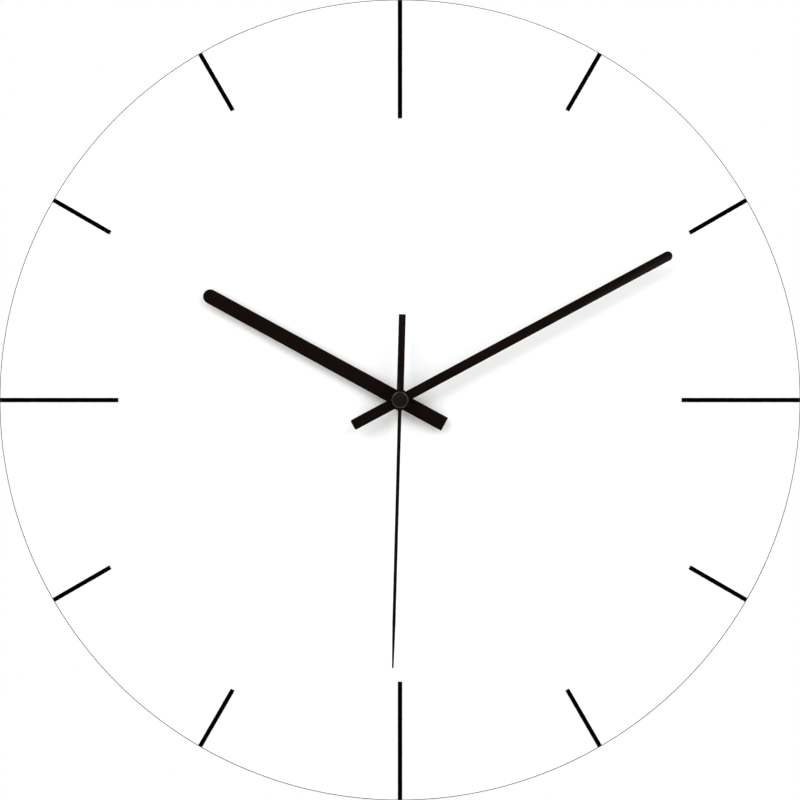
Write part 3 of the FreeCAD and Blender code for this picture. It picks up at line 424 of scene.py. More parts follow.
def smooth(piece: bpy.types.Object) -> None:
    """Shades a piece smooth, except across its sharp edges."""
    take_up(piece)
    bpy.ops.object.shade_smooth_by_angle(angle=SMOOTH_ANGLE)


def set_in_place(
    piece: bpy.types.Object, place: Vector, turn: float = 0.0, about: Axis = Axis.TO_WALL,
) -> None:
    """Turns a piece and moves it to its place, and writes both into its mesh.

    Args:
        piece: The mesh object, modelled at the origin.
        place: Where its own origin goes, in metres.
        turn: How far it is turned, in degrees.
        about: The axis it is turned about.
    """
    piece.rotation_euler["XYZ".index(about.value)] = math.radians(turn)
    piece.location = place
    settle(piece)


def block(name: str, low: Vector, high: Vector) -> bpy.types.Object:
    """Adds a rectangular solid.

    Args:
        name: The solid's name.
        low: Its lowest corner, in metres.
        high: Its highest corner, in metres.

    Returns:
        The new mesh object.
    """
    deselect_all()
    bpy.ops.mesh.primitive_cube_add(size=1, location=(low + high) / 2, scale=high - low)
    return new_primitive(name)


def rod(name: str, radius: float, rear: float, front: float, sides: int = ROUND_SIDES) -> bpy.types.Object:
    """Adds a round solid along the Y axis through the origin.

    Args:
        name: The solid's name.
        radius: Its radius, in millimetres.
        rear: The depth of its rear end, in millimetres.
        front: The depth of its front end, in millimetres.
        sides: How many side faces it has.

    Returns:
        The new mesh object.
    """
    deselect_all()
    bpy.ops.mesh.primitive_cylinder_add(
        vertices=sides, radius=radius * MM, depth=(front - rear) * MM,
        location=spot(0, (rear + front) / 2, 0), rotation=(QUARTER_TURN, 0, 0),
    )
    return new_primitive(name)


def remade_from(node: str, name: str) -> bpy.types.Object:
    """Copies a CAD node's mesh to a new piece of its own, with its loose triangles merged.

    Args:
        node: The CAD node.
        name: The new piece's name.

    Returns:
        The new mesh object.
    """
    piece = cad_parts[node].copy()
    piece.data = piece.data.copy()
    for key in list(piece.keys()):
        del piece[key]
    piece.parent = None
    piece.name = name
    piece.data.name = name
    bpy.context.scene.collection.objects.link(piece)
    with editing(piece):
        bpy.ops.mesh.select_all(action="SELECT")
        bpy.ops.mesh.remove_doubles(threshold=MERGE_MM * MM)
    return piece


# ---- Finishes ----


def add_node(
    tree: bpy.types.NodeTree,
    kind: str,
    settings: dict[str | int, object] | None = None,
    links: dict[str | int, Socket] | None = None,
) -> bpy.types.Node:
    """Adds one node to a material or a world.

    Args:
        tree: Its node tree.
        kind: Blender's node type.
        settings: The node's properties, and constants for its input sockets by name or number.
        links: The sockets that feed its inputs.

    Returns:
        The new node.
    """
    node = tree.nodes.new(kind)
    for name, value in (settings or {}).items():
        if isinstance(name, str) and hasattr(node, name):
            setattr(node, name, value)
        else:
            node.inputs[name].default_value = value
    for name, source in (links or {}).items():
        tree.links.new(source, node.inputs[name])
    return node


@dataclass(frozen=True)
class Finish:
    """A surface with a fine grain: two close tones, a roughness that wanders, and a shallow relief.

    Each real surface below is one of these or of its kinds, named for the material and how it was made.
    """

    name: str
    colour: str
    second_colour: str
    roughness: float
    wander: float
    grain_mm: float
    relief_mm: float
    patch_mm: float = 30.0
    metallic: float = 0.0
    ior: float = 1.5
    specular: float = 0.5
    coat: float = 0.0
    coat_roughness: float = 0.1
    subsurface: float = 0.0

    def material(self) -> bpy.types.Material:
        """Makes the finish's material, the first time it is asked for.

        Returns:
            The one material of that name.
        """
        found = bpy.data.materials.get(self.name)
        if found is not None:
            return found
        material = bpy.data.materials.new(self.name)
        material.use_nodes = True
        tree = material.node_tree
        tree.nodes.clear()
        place = add_node(tree, "ShaderNodeTexCoord").outputs["Object"]
        shader = add_node(
            tree, "ShaderNodeBsdfPrincipled",
            {
                "Metallic": self.metallic, "IOR": self.ior, "Specular IOR Level": self.specular,
                "Coat Weight": self.coat, "Coat Roughness": self.coat_roughness,
                "Subsurface Weight": self.subsurface, "Subsurface Scale": MM,
            },
            {
                "Base Color": self.tone(tree, place),
                "Roughness": self.gloss(tree, place),
                "Normal": self.surface(tree, place),
            },
        )
        add_node(tree, "ShaderNodeOutputMaterial", {}, {"Surface": shader.outputs["BSDF"]})
        return material

    def tone(self, tree: bpy.types.NodeTree, place: Socket) -> Socket:
        """Makes the colour: the two tones, mixed in broad soft patches.

        Args:
            tree: The material's node tree.
            place: The Object coordinates.

        Returns:
            The colour socket.
        """
        patches = add_node(tree, "ShaderNodeTexNoise", noise_of(self.patch_mm), {"Vector": place})
        amount = patches.outputs["Fac"]
        return add_node(tree, "ShaderNodeMix", self.two_tones(), {MIX_AMOUNT: amount}).outputs[MIX_RESULT]

    def two_tones(self) -> dict[str | int, object]:
        """Returns the settings of a mix of the two tones."""
        return {"data_type": "RGBA", MIX_FIRST: linear(self.colour), MIX_SECOND: linear(self.second_colour)}

    def gloss(self, tree: bpy.types.NodeTree, place: Socket) -> Socket:
        """Makes the roughness, which wanders a little over the surface.

        Args:
            tree: The material's node tree.
            place: The Object coordinates.

        Returns:
            The roughness socket.
        """
        patches = noise_of(self.patch_mm / GLOSS_FINENESS)
        value = add_node(tree, "ShaderNodeTexNoise", patches, {"Vector": place}).outputs["Fac"]
        settings = {
            "From Min": NOISE_LOW, "From Max": NOISE_HIGH,
            "To Min": self.roughness - self.wander, "To Max": self.roughness + self.wander,
        }
        return add_node(tree, "ShaderNodeMapRange", settings, {"Value": value}).outputs["Result"]

    def surface(self, tree: bpy.types.NodeTree, place: Socket) -> Socket:
        """Makes the normal, with the grain's relief in it.

        Args:
            tree: The material's node tree.
            place: The Object coordinates.

        Returns:
            The normal socket.
        """
        settings = {"Strength": 1.0, "Distance": self.relief_mm * MM}
        links = {"Height": self.height(tree, place)}
        return add_node(tree, "ShaderNodeBump", settings, links).outputs["Normal"]

    def height(self, tree: bpy.types.NodeTree, place: Socket) -> Socket:
        """Makes the height of the grain, from 0 to 1.

        Args:
            tree: The material's node tree.
            place: The Object coordinates.

        Returns:
            The height socket.
        """
        grain = add_node(tree, "ShaderNodeTexNoise", noise_of(self.grain_mm), {"Vector": place})
        return grain.outputs["Fac"]


@dataclass(frozen=True)
class TurnedFinish(Finish):
    """A surface cut on a lathe, with fine tool rings. They are centred on the frame's own Y axis."""

    waver: float = 0.6

    def height(self, tree: bpy.types.NodeTree, place: Socket) -> Socket:
        """Makes the tool rings, one to each grain width.

        The wave texture draws about pi rings to each unit of its scale.

        Args:
            tree: The material's node tree.
            place: The Object coordinates.

        Returns:
            The height socket.
        """
        settings = {
            "wave_type": "RINGS", "rings_direction": Axis.TO_WALL.value, "wave_profile": "SIN",
            "Scale": per_metre(self.grain_mm) / math.pi, "Distortion": self.waver, "Detail": 1.0,
        }
        return add_node(tree, "ShaderNodeTexWave", settings, {"Vector": place}).outputs["Fac"]


@dataclass(frozen=True)
class RolledFinish(Finish):
    """A rolled or brushed metal, with scratches that run one way."""

    stretch: Place = (0.05, 1.0, 1.0)

    def height(self, tree: bpy.types.NodeTree, place: Socket) -> Socket:
        """Makes the scratches: a fine noise drawn out along the rolling direction.

        Args:
            tree: The material's node tree.
            place: The Object coordinates.

        Returns:
            The height socket.
        """
        drawn = add_node(tree, "ShaderNodeMapping", {"Scale": self.stretch}, {"Vector": place})
        return super().height(tree, drawn.outputs["Vector"])


@dataclass(frozen=True)
class FoamFinish(Finish):
    """A closed-cell foam, whose cut edge shows its cells."""

    cell_softness: float = 0.6

    def height(self, tree: bpy.types.NodeTree, place: Socket) -> Socket:
        """Makes rounded cells of the grain's size.

        Args:
            tree: The material's node tree.
            place: The Object coordinates.

        Returns:
            The height socket.
        """
        settings = {
            "Scale": per_metre(self.grain_mm), "feature": "SMOOTH_F1", "Smoothness": self.cell_softness,
        }
        return add_node(tree, "ShaderNodeTexVoronoi", settings, {"Vector": place}).outputs["Distance"]


@dataclass(frozen=True)
class BandedFinish(Finish):
    """A printed film with one broad band of colour along the X axis. The band's places are in metres."""

    band_colour: str = "FFFFFF"
    line_colour: str = "FFFFFF"
    band_start: float = 0.0
    band_end: float = 0.0
    line_width: float = 0.001

    def tone(self, tree: bpy.types.NodeTree, place: Socket) -> Socket:
        """Makes the ground colour, with the thin lines over it and the band over both.

        Args:
            tree: The material's node tree.
            place: The Object coordinates.

        Returns:
            The colour socket.
        """
        along = add_node(tree, "ShaderNodeSeparateXYZ", {}, {"Vector": place}).outputs["X"]
        shade = super().tone(tree, place)
        for margin, colour in ((self.line_width, self.line_colour), (0, self.band_colour)):
            inside = self.between(tree, along, self.band_start - margin, self.band_end + margin)
            shade = add_node(
                tree, "ShaderNodeMix", {"data_type": "RGBA", MIX_SECOND: linear(colour)},
                {MIX_AMOUNT: inside, MIX_FIRST: shade},
            ).outputs[MIX_RESULT]
        return shade

    def between(self, tree: bpy.types.NodeTree, along: Socket, start: float, end: float) -> Socket:
        """Makes a value that is 1 between two places on the X axis, and 0 elsewhere.

        Args:
            tree: The material's node tree.
            along: The place along X.
            start: Where the stretch starts, in metres.
            end: Where it ends, in metres.

        Returns:
            The value's socket.
        """
        after = add_node(tree, "ShaderNodeMath", {"operation": "GREATER_THAN", 1: start}, {0: along})
        before = add_node(tree, "ShaderNodeMath", {"operation": "LESS_THAN", 1: end}, {0: along})
        ends = {0: after.outputs[0], 1: before.outputs[0]}
        return add_node(tree, "ShaderNodeMath", {"operation": "MULTIPLY"}, ends).outputs[0]


@dataclass(frozen=True)
class LaminateFinish(Finish):
    """A circuit laminate, whose copper tracks show through the solder mask."""

    track_mm: float = 1.2
    tracks_apart: float = 3.0
    track_share: float = 0.12
    disorder: float = 0.75

    def tone(self, tree: bpy.types.NodeTree, place: Socket) -> Socket:
        """Makes the mask's colour, lighter where a track runs under it.

        Args:
            tree: The material's node tree.
            place: The Object coordinates.

        Returns:
            The colour socket.
        """
        settings = {
            "Scale": per_metre(self.track_mm * self.tracks_apart), "feature": "DISTANCE_TO_EDGE",
            "Randomness": self.disorder,
        }
        edge = add_node(tree, "ShaderNodeTexVoronoi", settings, {"Vector": place}).outputs["Distance"]
        below = {"operation": "LESS_THAN", 1: self.track_share}
        tracks = add_node(tree, "ShaderNodeMath", below, {0: edge}).outputs[0]
        return add_node(tree, "ShaderNodeMix", self.two_tones(), {MIX_AMOUNT: tracks}).outputs[MIX_RESULT]


# Cast opal acrylic sheet, laser cut and flame polished: an even, slightly cold white with a soft sheen.
OPAL_ACRYLIC = Finish(
    "cast_opal_acrylic", "FAFAFA", "F6F7F8", 0.30, 0.03, 18.0, 0.002, patch_mm=90.0, ior=1.49,
    specular=0.35,
)
# The same sheet's rounded rim corners, painted dark grey: painted shade that stands in for the darker rim
# where the corners turn away from the lights.
EDGE_PAINTED_SHADE = Finish(
    "acrylic_rim_painted_shade", "3E4144", "474A4D", 0.38, 0.04, 6.0, 0.004, patch_mm=20.0, ior=1.49,
    specular=0.1,
)
# Screen-printed ink: dead black with the faint mottle of the mesh, which is drawn coarser than its 0.1 mm.
PRINTED_INK = Finish(
    "screen_printed_black_ink", "010101", "010101", 0.75, 0.06, 0.35, 0.006, patch_mm=6.0, specular=0.0,
)
# Satin lacquer on stamped aluminium: a warm near-black with a fine orange peel.
HAND_LACQUER = Finish(
    "black_satin_lacquer_on_aluminium", "0C0503", "130907", 0.36, 0.04, 0.9, 0.006, patch_mm=14.0,
    specular=0.055,
)
# Turned brass, chemically blackened: nearly smooth, so that its rounded rim catches the light.
HUB_BLACK = TurnedFinish(
    "blackened_turned_brass_hub", "0E0D0B", "141311", 0.18, 0.03, 0.25, 0.0005, patch_mm=3.0, specular=0.45,
)
# Free-cutting brass, turned and left bright: yellow metal, with rings drawn coarser than the 0.05 mm feed.
TURNED_BRASS = TurnedFinish(
    "turned_bright_brass", "D0A75C", "B98F48", 0.24, 0.06, 0.22, 0.004, patch_mm=4.0, metallic=1.0,
)
# Hardened carbon steel wire, ground and polished.
ARBOR_STEEL = RolledFinish(
    "ground_carbon_steel", "C2C3C6", "A9ABAE", 0.18, 0.04, 0.3, 0.002, patch_mm=3.0, metallic=1.0,
    stretch=(1.0, 0.05, 1.0),
)
# Injection-moulded acetal: a waxy white that lets a little light in.
WHITE_ACETAL = Finish(
    "moulded_white_acetal", "F0EEE6", "E4E1D7", 0.34, 0.05, 0.6, 0.004, patch_mm=4.0, ior=1.48,
    subsurface=0.15,
)
# The same acetal without pigment, which is yellower and more see-through.
NATURAL_ACETAL = Finish(
    "moulded_natural_acetal", "E6DFC8", "D6CDB2", 0.34, 0.05, 0.6, 0.004, patch_mm=4.0, ior=1.48,
    subsurface=0.25,
)
# Sintered ferrite: dark grey, with open pores.
FERRITE = Finish(
    "sintered_ferrite", "34353A", "45464B", 0.62, 0.08, 0.25, 0.02, patch_mm=0.8, specular=0.5,
)
# Black ABS from a polished mould.
KNOB_ABS = Finish(
    "moulded_black_abs_semi_gloss", "17171A", "1E1E21", 0.32, 0.06, 0.5, 0.004, patch_mm=5.0, ior=1.53,
)
# Black ABS from a spark-eroded mould: a fine matt grain, drawn at 0.45 mm because 0.05 mm would not show.
CASE_ABS = Finish(
    "moulded_black_abs_spark_grain", "141416", "1D1D20", 0.50, 0.07, 0.45, 0.03, patch_mm=9.0, ior=1.53,
)
# Pale grey polystyrene plate, moulded smooth.
PLATE_STYRENE = Finish(
    "moulded_grey_polystyrene", "C4C7CA", "B6B9BD", 0.40, 0.05, 0.8, 0.005, patch_mm=8.0, ior=1.59,
)
# Annealed silicon steel lamination: dull grey with rolling lines.
STATOR_STEEL = RolledFinish(
    "annealed_silicon_steel", "8E9194", "7B7E82", 0.42, 0.08, 0.35, 0.006, patch_mm=6.0, metallic=1.0,
)
# Nylon bobbin, moulded in its natural ivory colour.
BOBBIN_NYLON = Finish(
    "moulded_natural_nylon", "E3DCC6", "D8D0B8", 0.42, 0.05, 0.6, 0.005, patch_mm=5.0, ior=1.53,
    subsurface=0.1,
)
# Enamelled copper wire: orange metal under a clear varnish.
COPPER_WIRE = RolledFinish(
    "enamelled_copper_wire", "C4622D", "A94E22", 0.28, 0.06, 0.25, 0.004, patch_mm=2.5, metallic=1.0,
    coat=0.6, stretch=(1.0, 0.4, 0.4),
)
# Glass-epoxy laminate under a green solder mask.
BOARD_LAMINATE = LaminateFinish(
    "solder_masked_glass_epoxy", "14482F", "2C6B45", 0.34, 0.05, 0.5, 0.01, patch_mm=4.0, ior=1.55,
    coat=0.4,
)
# Black epoxy dropped over the chip and cured: smooth and glossy.
CHIP_RESIN = Finish(
    "cured_black_epoxy", "0A0A0B", "111112", 0.16, 0.04, 1.2, 0.02, patch_mm=2.0, ior=1.55,
)
# Nickel plate over drawn steel: a warm bright metal.
NICKEL_PLATE = RolledFinish(
    "nickel_plated_drawn_steel", "CFCBC2", "BDB9B0", 0.22, 0.06, 0.4, 0.003, patch_mm=5.0, metallic=1.0,
)
# The same plate on spring strip, brushed across by the rolls.
CONTACT_NICKEL = RolledFinish(
    "nickel_plated_spring_strip", "C9C7C1", "B4B2AC", 0.28, 0.07, 0.3, 0.005, patch_mm=4.0, metallic=1.0,
    stretch=(1.0, 1.0, 0.06),
)
# Closed-cell polyethylene foam with adhesive on both faces: pale, matt and soft.
TAPE_FOAM = FoamFinish(
    "closed_cell_polyethylene_foam", "ECEAE4", "DFDCD4", 0.85, 0.05, 0.45, 0.08, patch_mm=6.0, specular=0.2,
)
# Shrunk plastic film, printed and varnished: a dark ground and one silver band behind a thin green line.
PRINTED_FILM = BandedFinish(
    "printed_battery_film", "23282C", "2A3034", 0.24, 0.04, 1.5, 0.006, patch_mm=12.0, coat=0.5,
    band_colour="C9CDCF", line_colour="2F9E8F",
)
# Pale floor paint, rolled on and dried matt.
FLOOR_PAINT = Finish("matt_pale_floor_paint", "C9C9C6", "C4C4C1", 0.8, 0.05, 5.0, 0.01, patch_mm=300.0)


def dress(node: str, finish: Finish) -> None:
    """Puts a finish on a CAD node that is shown as it is.

    Args:
        node: The CAD node.
        finish: What it is made of.
    """
    for material_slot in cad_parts[node].material_slots:
        material_slot.material = finish.material()
    log.info("dressed %s in %s", node, finish.name)


def hand_over(
    piece: bpy.types.Object, body: Body, finish: Finish, replaced: Sequence[str],
) -> None:
    """Finishes a new piece: its material, the body it rides on and the nodes it stands for.

    Args:
        piece: The finished mesh, in place.
        body: The body that carries it.
        finish: What it is made of.
        replaced: The CAD nodes that it stands for.
    """
    piece.data.materials.clear()
    piece.data.materials.append(finish.material())
    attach(piece, body.value)
    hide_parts(*replaced)
    log.info("%s rides on %s, %d faces", piece.name, body.value, len(piece.data.polygons))


# ---- The clock's sub-assemblies ----


@dataclass
class DialFace:
    """The white disc with its rounded corners in painted grey shade, and the printed marks on it."""

    edge_round: float = 0.33
    hole_radius: float = 3.7
    sides: int = 256
    round_steps: int = 5
    extent: Extent = field(default_factory=lambda: Extent.of("dial_disc"))

    @property
    def middle(self) -> Vector:
        """The dial's centre, on the wall plane."""
        return Vector((0, 0, self.extent.centre.z))

    def build(self) -> None:
        """Builds the disc and dresses the marks."""
        radius = self.extent.high.x / MM
        disc = turned(
            "dial_sheet",
            [
                (self.hole_radius, self.extent.rear), (radius, self.extent.rear),
                (radius, self.extent.front), (self.hole_radius, self.extent.front),
            ],
            self.sides, hollow=True,
        )
        soften(disc, self.edge_round, self.round_steps)
        set_in_place(disc, self.middle)
        hand_over(disc, Body.CASE, OPAL_ACRYLIC, ["dial_disc"])
        self.paint_edge_shade(disc, (radius - self.edge_round) * MM)
        for marks in ("quarter_marks", "hour_marks"):
            dress(marks, PRINTED_INK)

    def paint_edge_shade(self, disc: bpy.types.Object, flat_radius: float) -> None:
        """Paints the rounded corners of the disc's rim dark grey, as painted shade for the rim that turns
        away from the lights.

        Args:
            disc: The dial's sheet, in place.
            flat_radius: Where the rim's rounds start, in metres from the centre.
        """
        # Painted shade: the rim's rounded faces that turn away from the front get the dark grey material.
        disc.data.materials.append(EDGE_PAINTED_SHADE.material())
        for face in disc.data.polygons:
            is_round = abs(face.normal.y) > LEVEL
            if is_round and (face.center - self.middle).xz.length > flat_radius:
                face.material_index = 1


@dataclass
class FlatHand:
    """A stamped hand: a tapering blade with a round tip, a square tail and an eye for its bush."""

    name: str
    node: str
    body: Body
    turn: float
    reach: float
    root_width: float
    tip_width: float
    tail_reach: float
    tail_width: float
    eye_radius: float
    bore_radius: float
    tail_round: float = 0.25
    edge_round: float = 0.12
    round_steps: int = 3
    tip_steps: int = 12
    # The tip's round takes nearly half the width on each side, and leaves a sliver between.
    tip_fill: float = 0.995

    def build(self, spindle: Vector) -> None:
        """Builds the hand upright and turns it to the time it shows.

        Args:
            spindle: The spindle's place, in metres.
        """
        extent = Extent.of(self.node)
        rear, front = extent.rear, extent.front
        thickness = front - rear
        blade = ribbon(self.name, [(self.root_width, 0), (self.tip_width, self.reach)], rear, thickness)
        round_ends(blade, self.tip_width / 2 * self.tip_fill, self.reach / 2, self.tip_steps)
        tail_ends = [(self.tail_width, -self.tail_reach), (self.tail_width, OVERRUN_MM)]
        tail = ribbon("tail", tail_ends, rear, thickness)
        round_ends(tail, self.tail_round, -self.tail_reach / 2, self.round_steps)
        combine(blade, tail, Combine.JOIN)
        combine(blade, rod("eye", self.eye_radius, rear, front), Combine.JOIN)
        tidy_faces(blade)
        combine(blade, rod("bore", self.bore_radius, rear - OVERRUN_MM, front + OVERRUN_MM), Combine.CUT)
        soften(blade, self.edge_round, self.round_steps)
        set_in_place(blade, spindle, self.turn)
        hand_over(blade, self.body, HAND_LACQUER, [self.node])


@dataclass
class SecondHand:
    """The thin second hand: a needle that grows from its hub in a short teardrop, and a flat tail."""

    turn: float = 181.55
    reach: float = 100.0
    root_width: float = 1.35
    point_width: float = 1.2
    tip_width: float = 0.65
    point_length: float = 17.0
    neck_width: float = 2.6
    neck_end: float = 4.3
    tail_reach: float = 32.0
    tail_width: float = 2.6
    hub_radius: float = 3.1
    arbor_radius: float = 0.5
    fit: float = 0.02
    edge_round: float = 0.07
    rim_round: float = 0.42
    rim_steps: int = 8
    rim_width: float = 0.7
    dish_radius: float = 0.8
    dish_depth: float = 0.12
    bore_cap: float = 0.3
    neck_length: float = 0.7
    hub_sides: int = 96

    @property
    def spigot(self) -> float:
        """The radius of the hub's neck, which fits the needle's hole."""
        return self.hub_radius / 2

    def build(self, spindle: Vector) -> None:
        """Builds the needle with its tail, and the hub over them.

        Args:
            spindle: The spindle's place, in metres.
        """
        extent = Extent.of("second_hand")
        rear, front = extent.rear, extent.front
        thickness = front - rear
        needle = ribbon(
            "second_hand_needle",
            [
                (self.neck_width, 0), (self.neck_width, self.hub_radius - self.root_width / 2),
                (self.root_width, self.neck_end), (self.point_width, self.reach - self.point_length),
                (self.tip_width, self.reach),
            ],
            rear, thickness,
        )
        tail_ends = [(self.tail_width, -self.tail_reach), (self.tail_width, OVERRUN_MM)]
        combine(needle, ribbon("tail", tail_ends, rear, thickness), Combine.JOIN)
        combine(needle, rod("plate", self.hub_radius - self.fit, rear, front), Combine.JOIN)
        tidy_faces(needle)
        bore = rod("bore", self.spigot + self.fit, rear - OVERRUN_MM, front + OVERRUN_MM)
        combine(needle, bore, Combine.CUT)
        soften(needle, self.edge_round)
        set_in_place(needle, spindle, self.turn)
        hand_over(needle, Body.SECOND, HAND_LACQUER, ["second_hand"])
        self.build_hub(spindle)

    def build_hub(self, spindle: Vector) -> None:
        """Builds the turned hub, with its rounded rim, shallow dish and blind bore.

        Args:
            spindle: The spindle's place, in metres.
        """
        extent = Extent.of("second_hand_hub")
        rear, front = extent.rear, extent.front
        inner, neck = self.arbor_radius + self.fit, self.spigot
        step, dish = rear + self.neck_length, front - self.dish_depth
        turns = [QUARTER_TURN * i / self.rim_steps for i in range(self.rim_steps + 1)]
        middle, level = self.hub_radius - self.rim_round, front - self.rim_round
        rim = [
            (middle + self.rim_round * math.cos(turn), level + self.rim_round * math.sin(turn))
            for turn in turns
        ]
        hub = turned(
            "second_hand_hub_cap",
            [
                (inner, front - self.bore_cap), (inner, rear), (neck, rear), (neck, step),
                (self.hub_radius, step), *rim, (self.hub_radius - self.rim_width, front),
                (self.dish_radius, dish), (inner / 2, dish),
            ],
            self.hub_sides,
        )
        smooth(hub)
        set_in_place(hub, spindle)
        hand_over(hub, Body.SECOND, HUB_BLACK, ["second_hand_hub"])


@dataclass
class HandBush:
    """A turned bush riveted into a hand, with a collar behind it."""

    name: str
    node: str
    body: Body
    inner: float
    wall: float = 0.8
    collar: float = 0.4
    edge_round: float = 0.1
    round_steps: int = 3
    sides: int = 72

    def build(self, spindle: Vector) -> None:
        """Builds the bush between the depths of its CAD node.

        Args:
            spindle: The spindle's place, in metres.
        """
        extent = Extent.of(self.node)
        outer = self.inner + self.wall
        step = extent.rear + self.collar
        bush = turned(
            self.name,
            [
                (self.inner, extent.rear), (outer + self.collar, extent.rear), (outer + self.collar, step),
                (outer, step), (outer, extent.front), (self.inner, extent.front),
            ],
            self.sides, hollow=True,
        )
        soften(bush, self.edge_round, self.round_steps)
        set_in_place(bush, spindle)
        hand_over(bush, self.body, TURNED_BRASS, [self.node])


@dataclass
class SettingKnob:
    """The fluted knob on the back that sets the hands, moulded in one with its shaft."""

    radius: float = 5.2
    thickness: float = 3.0
    shaft_radius: float = 1.0
    flutes: int = 24
    flute_depth: float = 0.35
    faces_per_flute: int = 4
    rim: float = 1.1
    dish: float = 0.35
    shaft_sides: int = 32
    edge_round: float = 0.08

    def build(self) -> None:
        """Builds the knob's body, cuts its flutes, dishes its face and joins its shaft."""
        extent = Extent.of("setting_knob")
        front = extent.rear + self.thickness
        sides = self.flutes * self.faces_per_flute
        knob = rod("setting_knob_fluted", self.radius, extent.rear, front, sides)
        step = FULL_TURN / sides

        def is_flute(face: bmesh.types.BMFace) -> bool:
            """Says whether a side face is the one in each group that becomes a flute.

            Args:
                face: A face of the knob.

            Returns:
                True for a flute.
            """
            middle = face.calc_center_median()
            turn = math.atan2(middle.x, middle.z) % FULL_TURN
            return abs(face.normal.y) < SIDEWAYS and int(turn / step) % self.faces_per_flute == 0

        with editing(knob, "FACE"):
            pick(knob, "FACE", is_flute)
            bpy.ops.mesh.extrude_region_shrink_fatten(
                TRANSFORM_OT_shrink_fatten={"value": -self.flute_depth * MM},
            )
            pick(knob, "FACE", lambda face: face.normal.y > ENDWAYS)
            bpy.ops.mesh.inset(thickness=self.rim * MM)
            bpy.ops.mesh.inset(thickness=self.dish * MM, depth=-self.dish * MM)
        face_outwards(knob)
        shaft = rod("shaft", self.shaft_radius, front - OVERRUN_MM, extent.front, self.shaft_sides)
        combine(knob, shaft, Combine.JOIN)
        soften(knob, self.edge_round)
        set_in_place(knob, Vector((extent.centre.x, 0, extent.centre.z)))
        hand_over(knob, Body.MOTION, KNOB_ABS, ["setting_knob"])


@dataclass
class BatteryCell:
    """The AA cell that slides into the bay: a plated can, a printed sleeve and the flat end plate."""

    radius: float = 7.1
    sleeve_wall: float = 0.1
    press_gap: float = 0.02
    nub_radius: float = 2.6
    nub_length: float = 1.2
    land: float = 1.4
    groove_slope: float = 0.2
    groove_depth: float = 0.15
    rim_slope: float = 0.3
    shoulder: float = 0.6
    can_round: float = 0.25
    can_round_steps: int = 4
    sleeve_round: float = 0.04
    base_radius: float = 4.5
    base_height: float = 0.3
    base_rim: float = 0.9
    base_slope: float = 0.3
    base_dish: float = 0.18
    base_centre: float = 0.5
    base_round: float = 0.08
    base_round_steps: int = 3
    # Where the silver band starts, as a share of the cell's length, and how wide its thin line is.
    band_start: float = 0.72
    band_line: float = 1.4
    sides: int = 96

    def build(self) -> None:
        """Builds the three parts along the Y axis, lays them along X and prints the film's band."""
        can = Extent.of("battery_can")
        left, right = can.low.x / MM, Extent.of("battery_base").high.x / MM
        length = right - left
        core = self.radius - self.sleeve_wall - self.press_gap
        seam = length - self.base_height
        lip = self.nub_length + self.shoulder
        groove = self.nub_length + self.groove_depth
        middle = Vector((can.low.x, can.centre.y, can.centre.z))
        steel = turned(
            "battery_steel_can",
            [
                (self.nub_radius, 0), (self.nub_radius, self.nub_length),
                (self.nub_radius + self.land, self.nub_length),
                (self.nub_radius + self.land + self.groove_slope, groove), (core - self.land, groove),
                (core - self.land + self.groove_slope, self.nub_length),
                (core - self.rim_slope, self.nub_length), (core, lip), (core, seam),
            ],
            self.sides,
        )
        soften(steel, self.can_round, self.can_round_steps)
        sleeve = turned(
            "battery_printed_sleeve",
            [
                (core + self.press_gap, lip), (self.radius, lip), (self.radius, seam),
                (core + self.press_gap, seam),
            ],
            self.sides, hollow=True,
        )
        soften(sleeve, self.sleeve_round)
        dish = length - self.base_dish
        base = turned(
            "battery_end_plate",
            [
                (self.base_radius, seam), (self.base_radius, length),
                (self.base_radius - self.base_rim, length),
                (self.base_radius - self.base_rim - self.base_slope, dish), (self.base_centre, dish),
            ],
            self.sides,
        )
        soften(base, self.base_round, self.base_round_steps)
        for part in (steel, sleeve, base):
            set_in_place(part, middle, LAID_OVER, Axis.UP)
        film = replace(
            PRINTED_FILM, band_start=can.low.x + self.band_start * length * MM,
            band_end=can.high.x + OVERRUN_MM * MM, line_width=self.band_line * MM,
        )
        hand_over(steel, Body.BATTERY, NICKEL_PLATE, ["battery_can"])
        hand_over(sleeve, Body.BATTERY, film, ["battery_sleeve"])
        hand_over(base, Body.BATTERY, NICKEL_PLATE, ["battery_base"])


@dataclass
class FoamPad:
    """The square of double-sided foam between the movement and the dial."""

    corner: float = 2.0
    hole_radius: float = 6.0
    corner_steps: int = 6
    swell: float = 0.12
    swell_steps: int = 3

    def build(self, spindle: Vector) -> None:
        """Builds the pad with rounded corners, a hole and edges that swell a little.

        Args:
            spindle: The spindle's place, in metres.
        """
        extent = Extent.of("foam_tape")
        pad = block("foam_tape_pad", extent.low, extent.high)
        with editing(pad, "EDGE"):
            pick(pad, "EDGE", lambda edge: abs(edge.verts[0].co.y - edge.verts[1].co.y) > self.swell * MM)
            bpy.ops.mesh.bevel(offset=self.corner * MM, segments=self.corner_steps, affect="EDGES")
        hole = rod("hole", self.hole_radius, extent.rear - OVERRUN_MM, extent.front + OVERRUN_MM)
        set_in_place(hole, spindle)
        combine(pad, hole, Combine.CUT)
        soften(pad, self.swell, self.swell_steps)
        hand_over(pad, Body.CASE, TAPE_FOAM, ["foam_tape"])


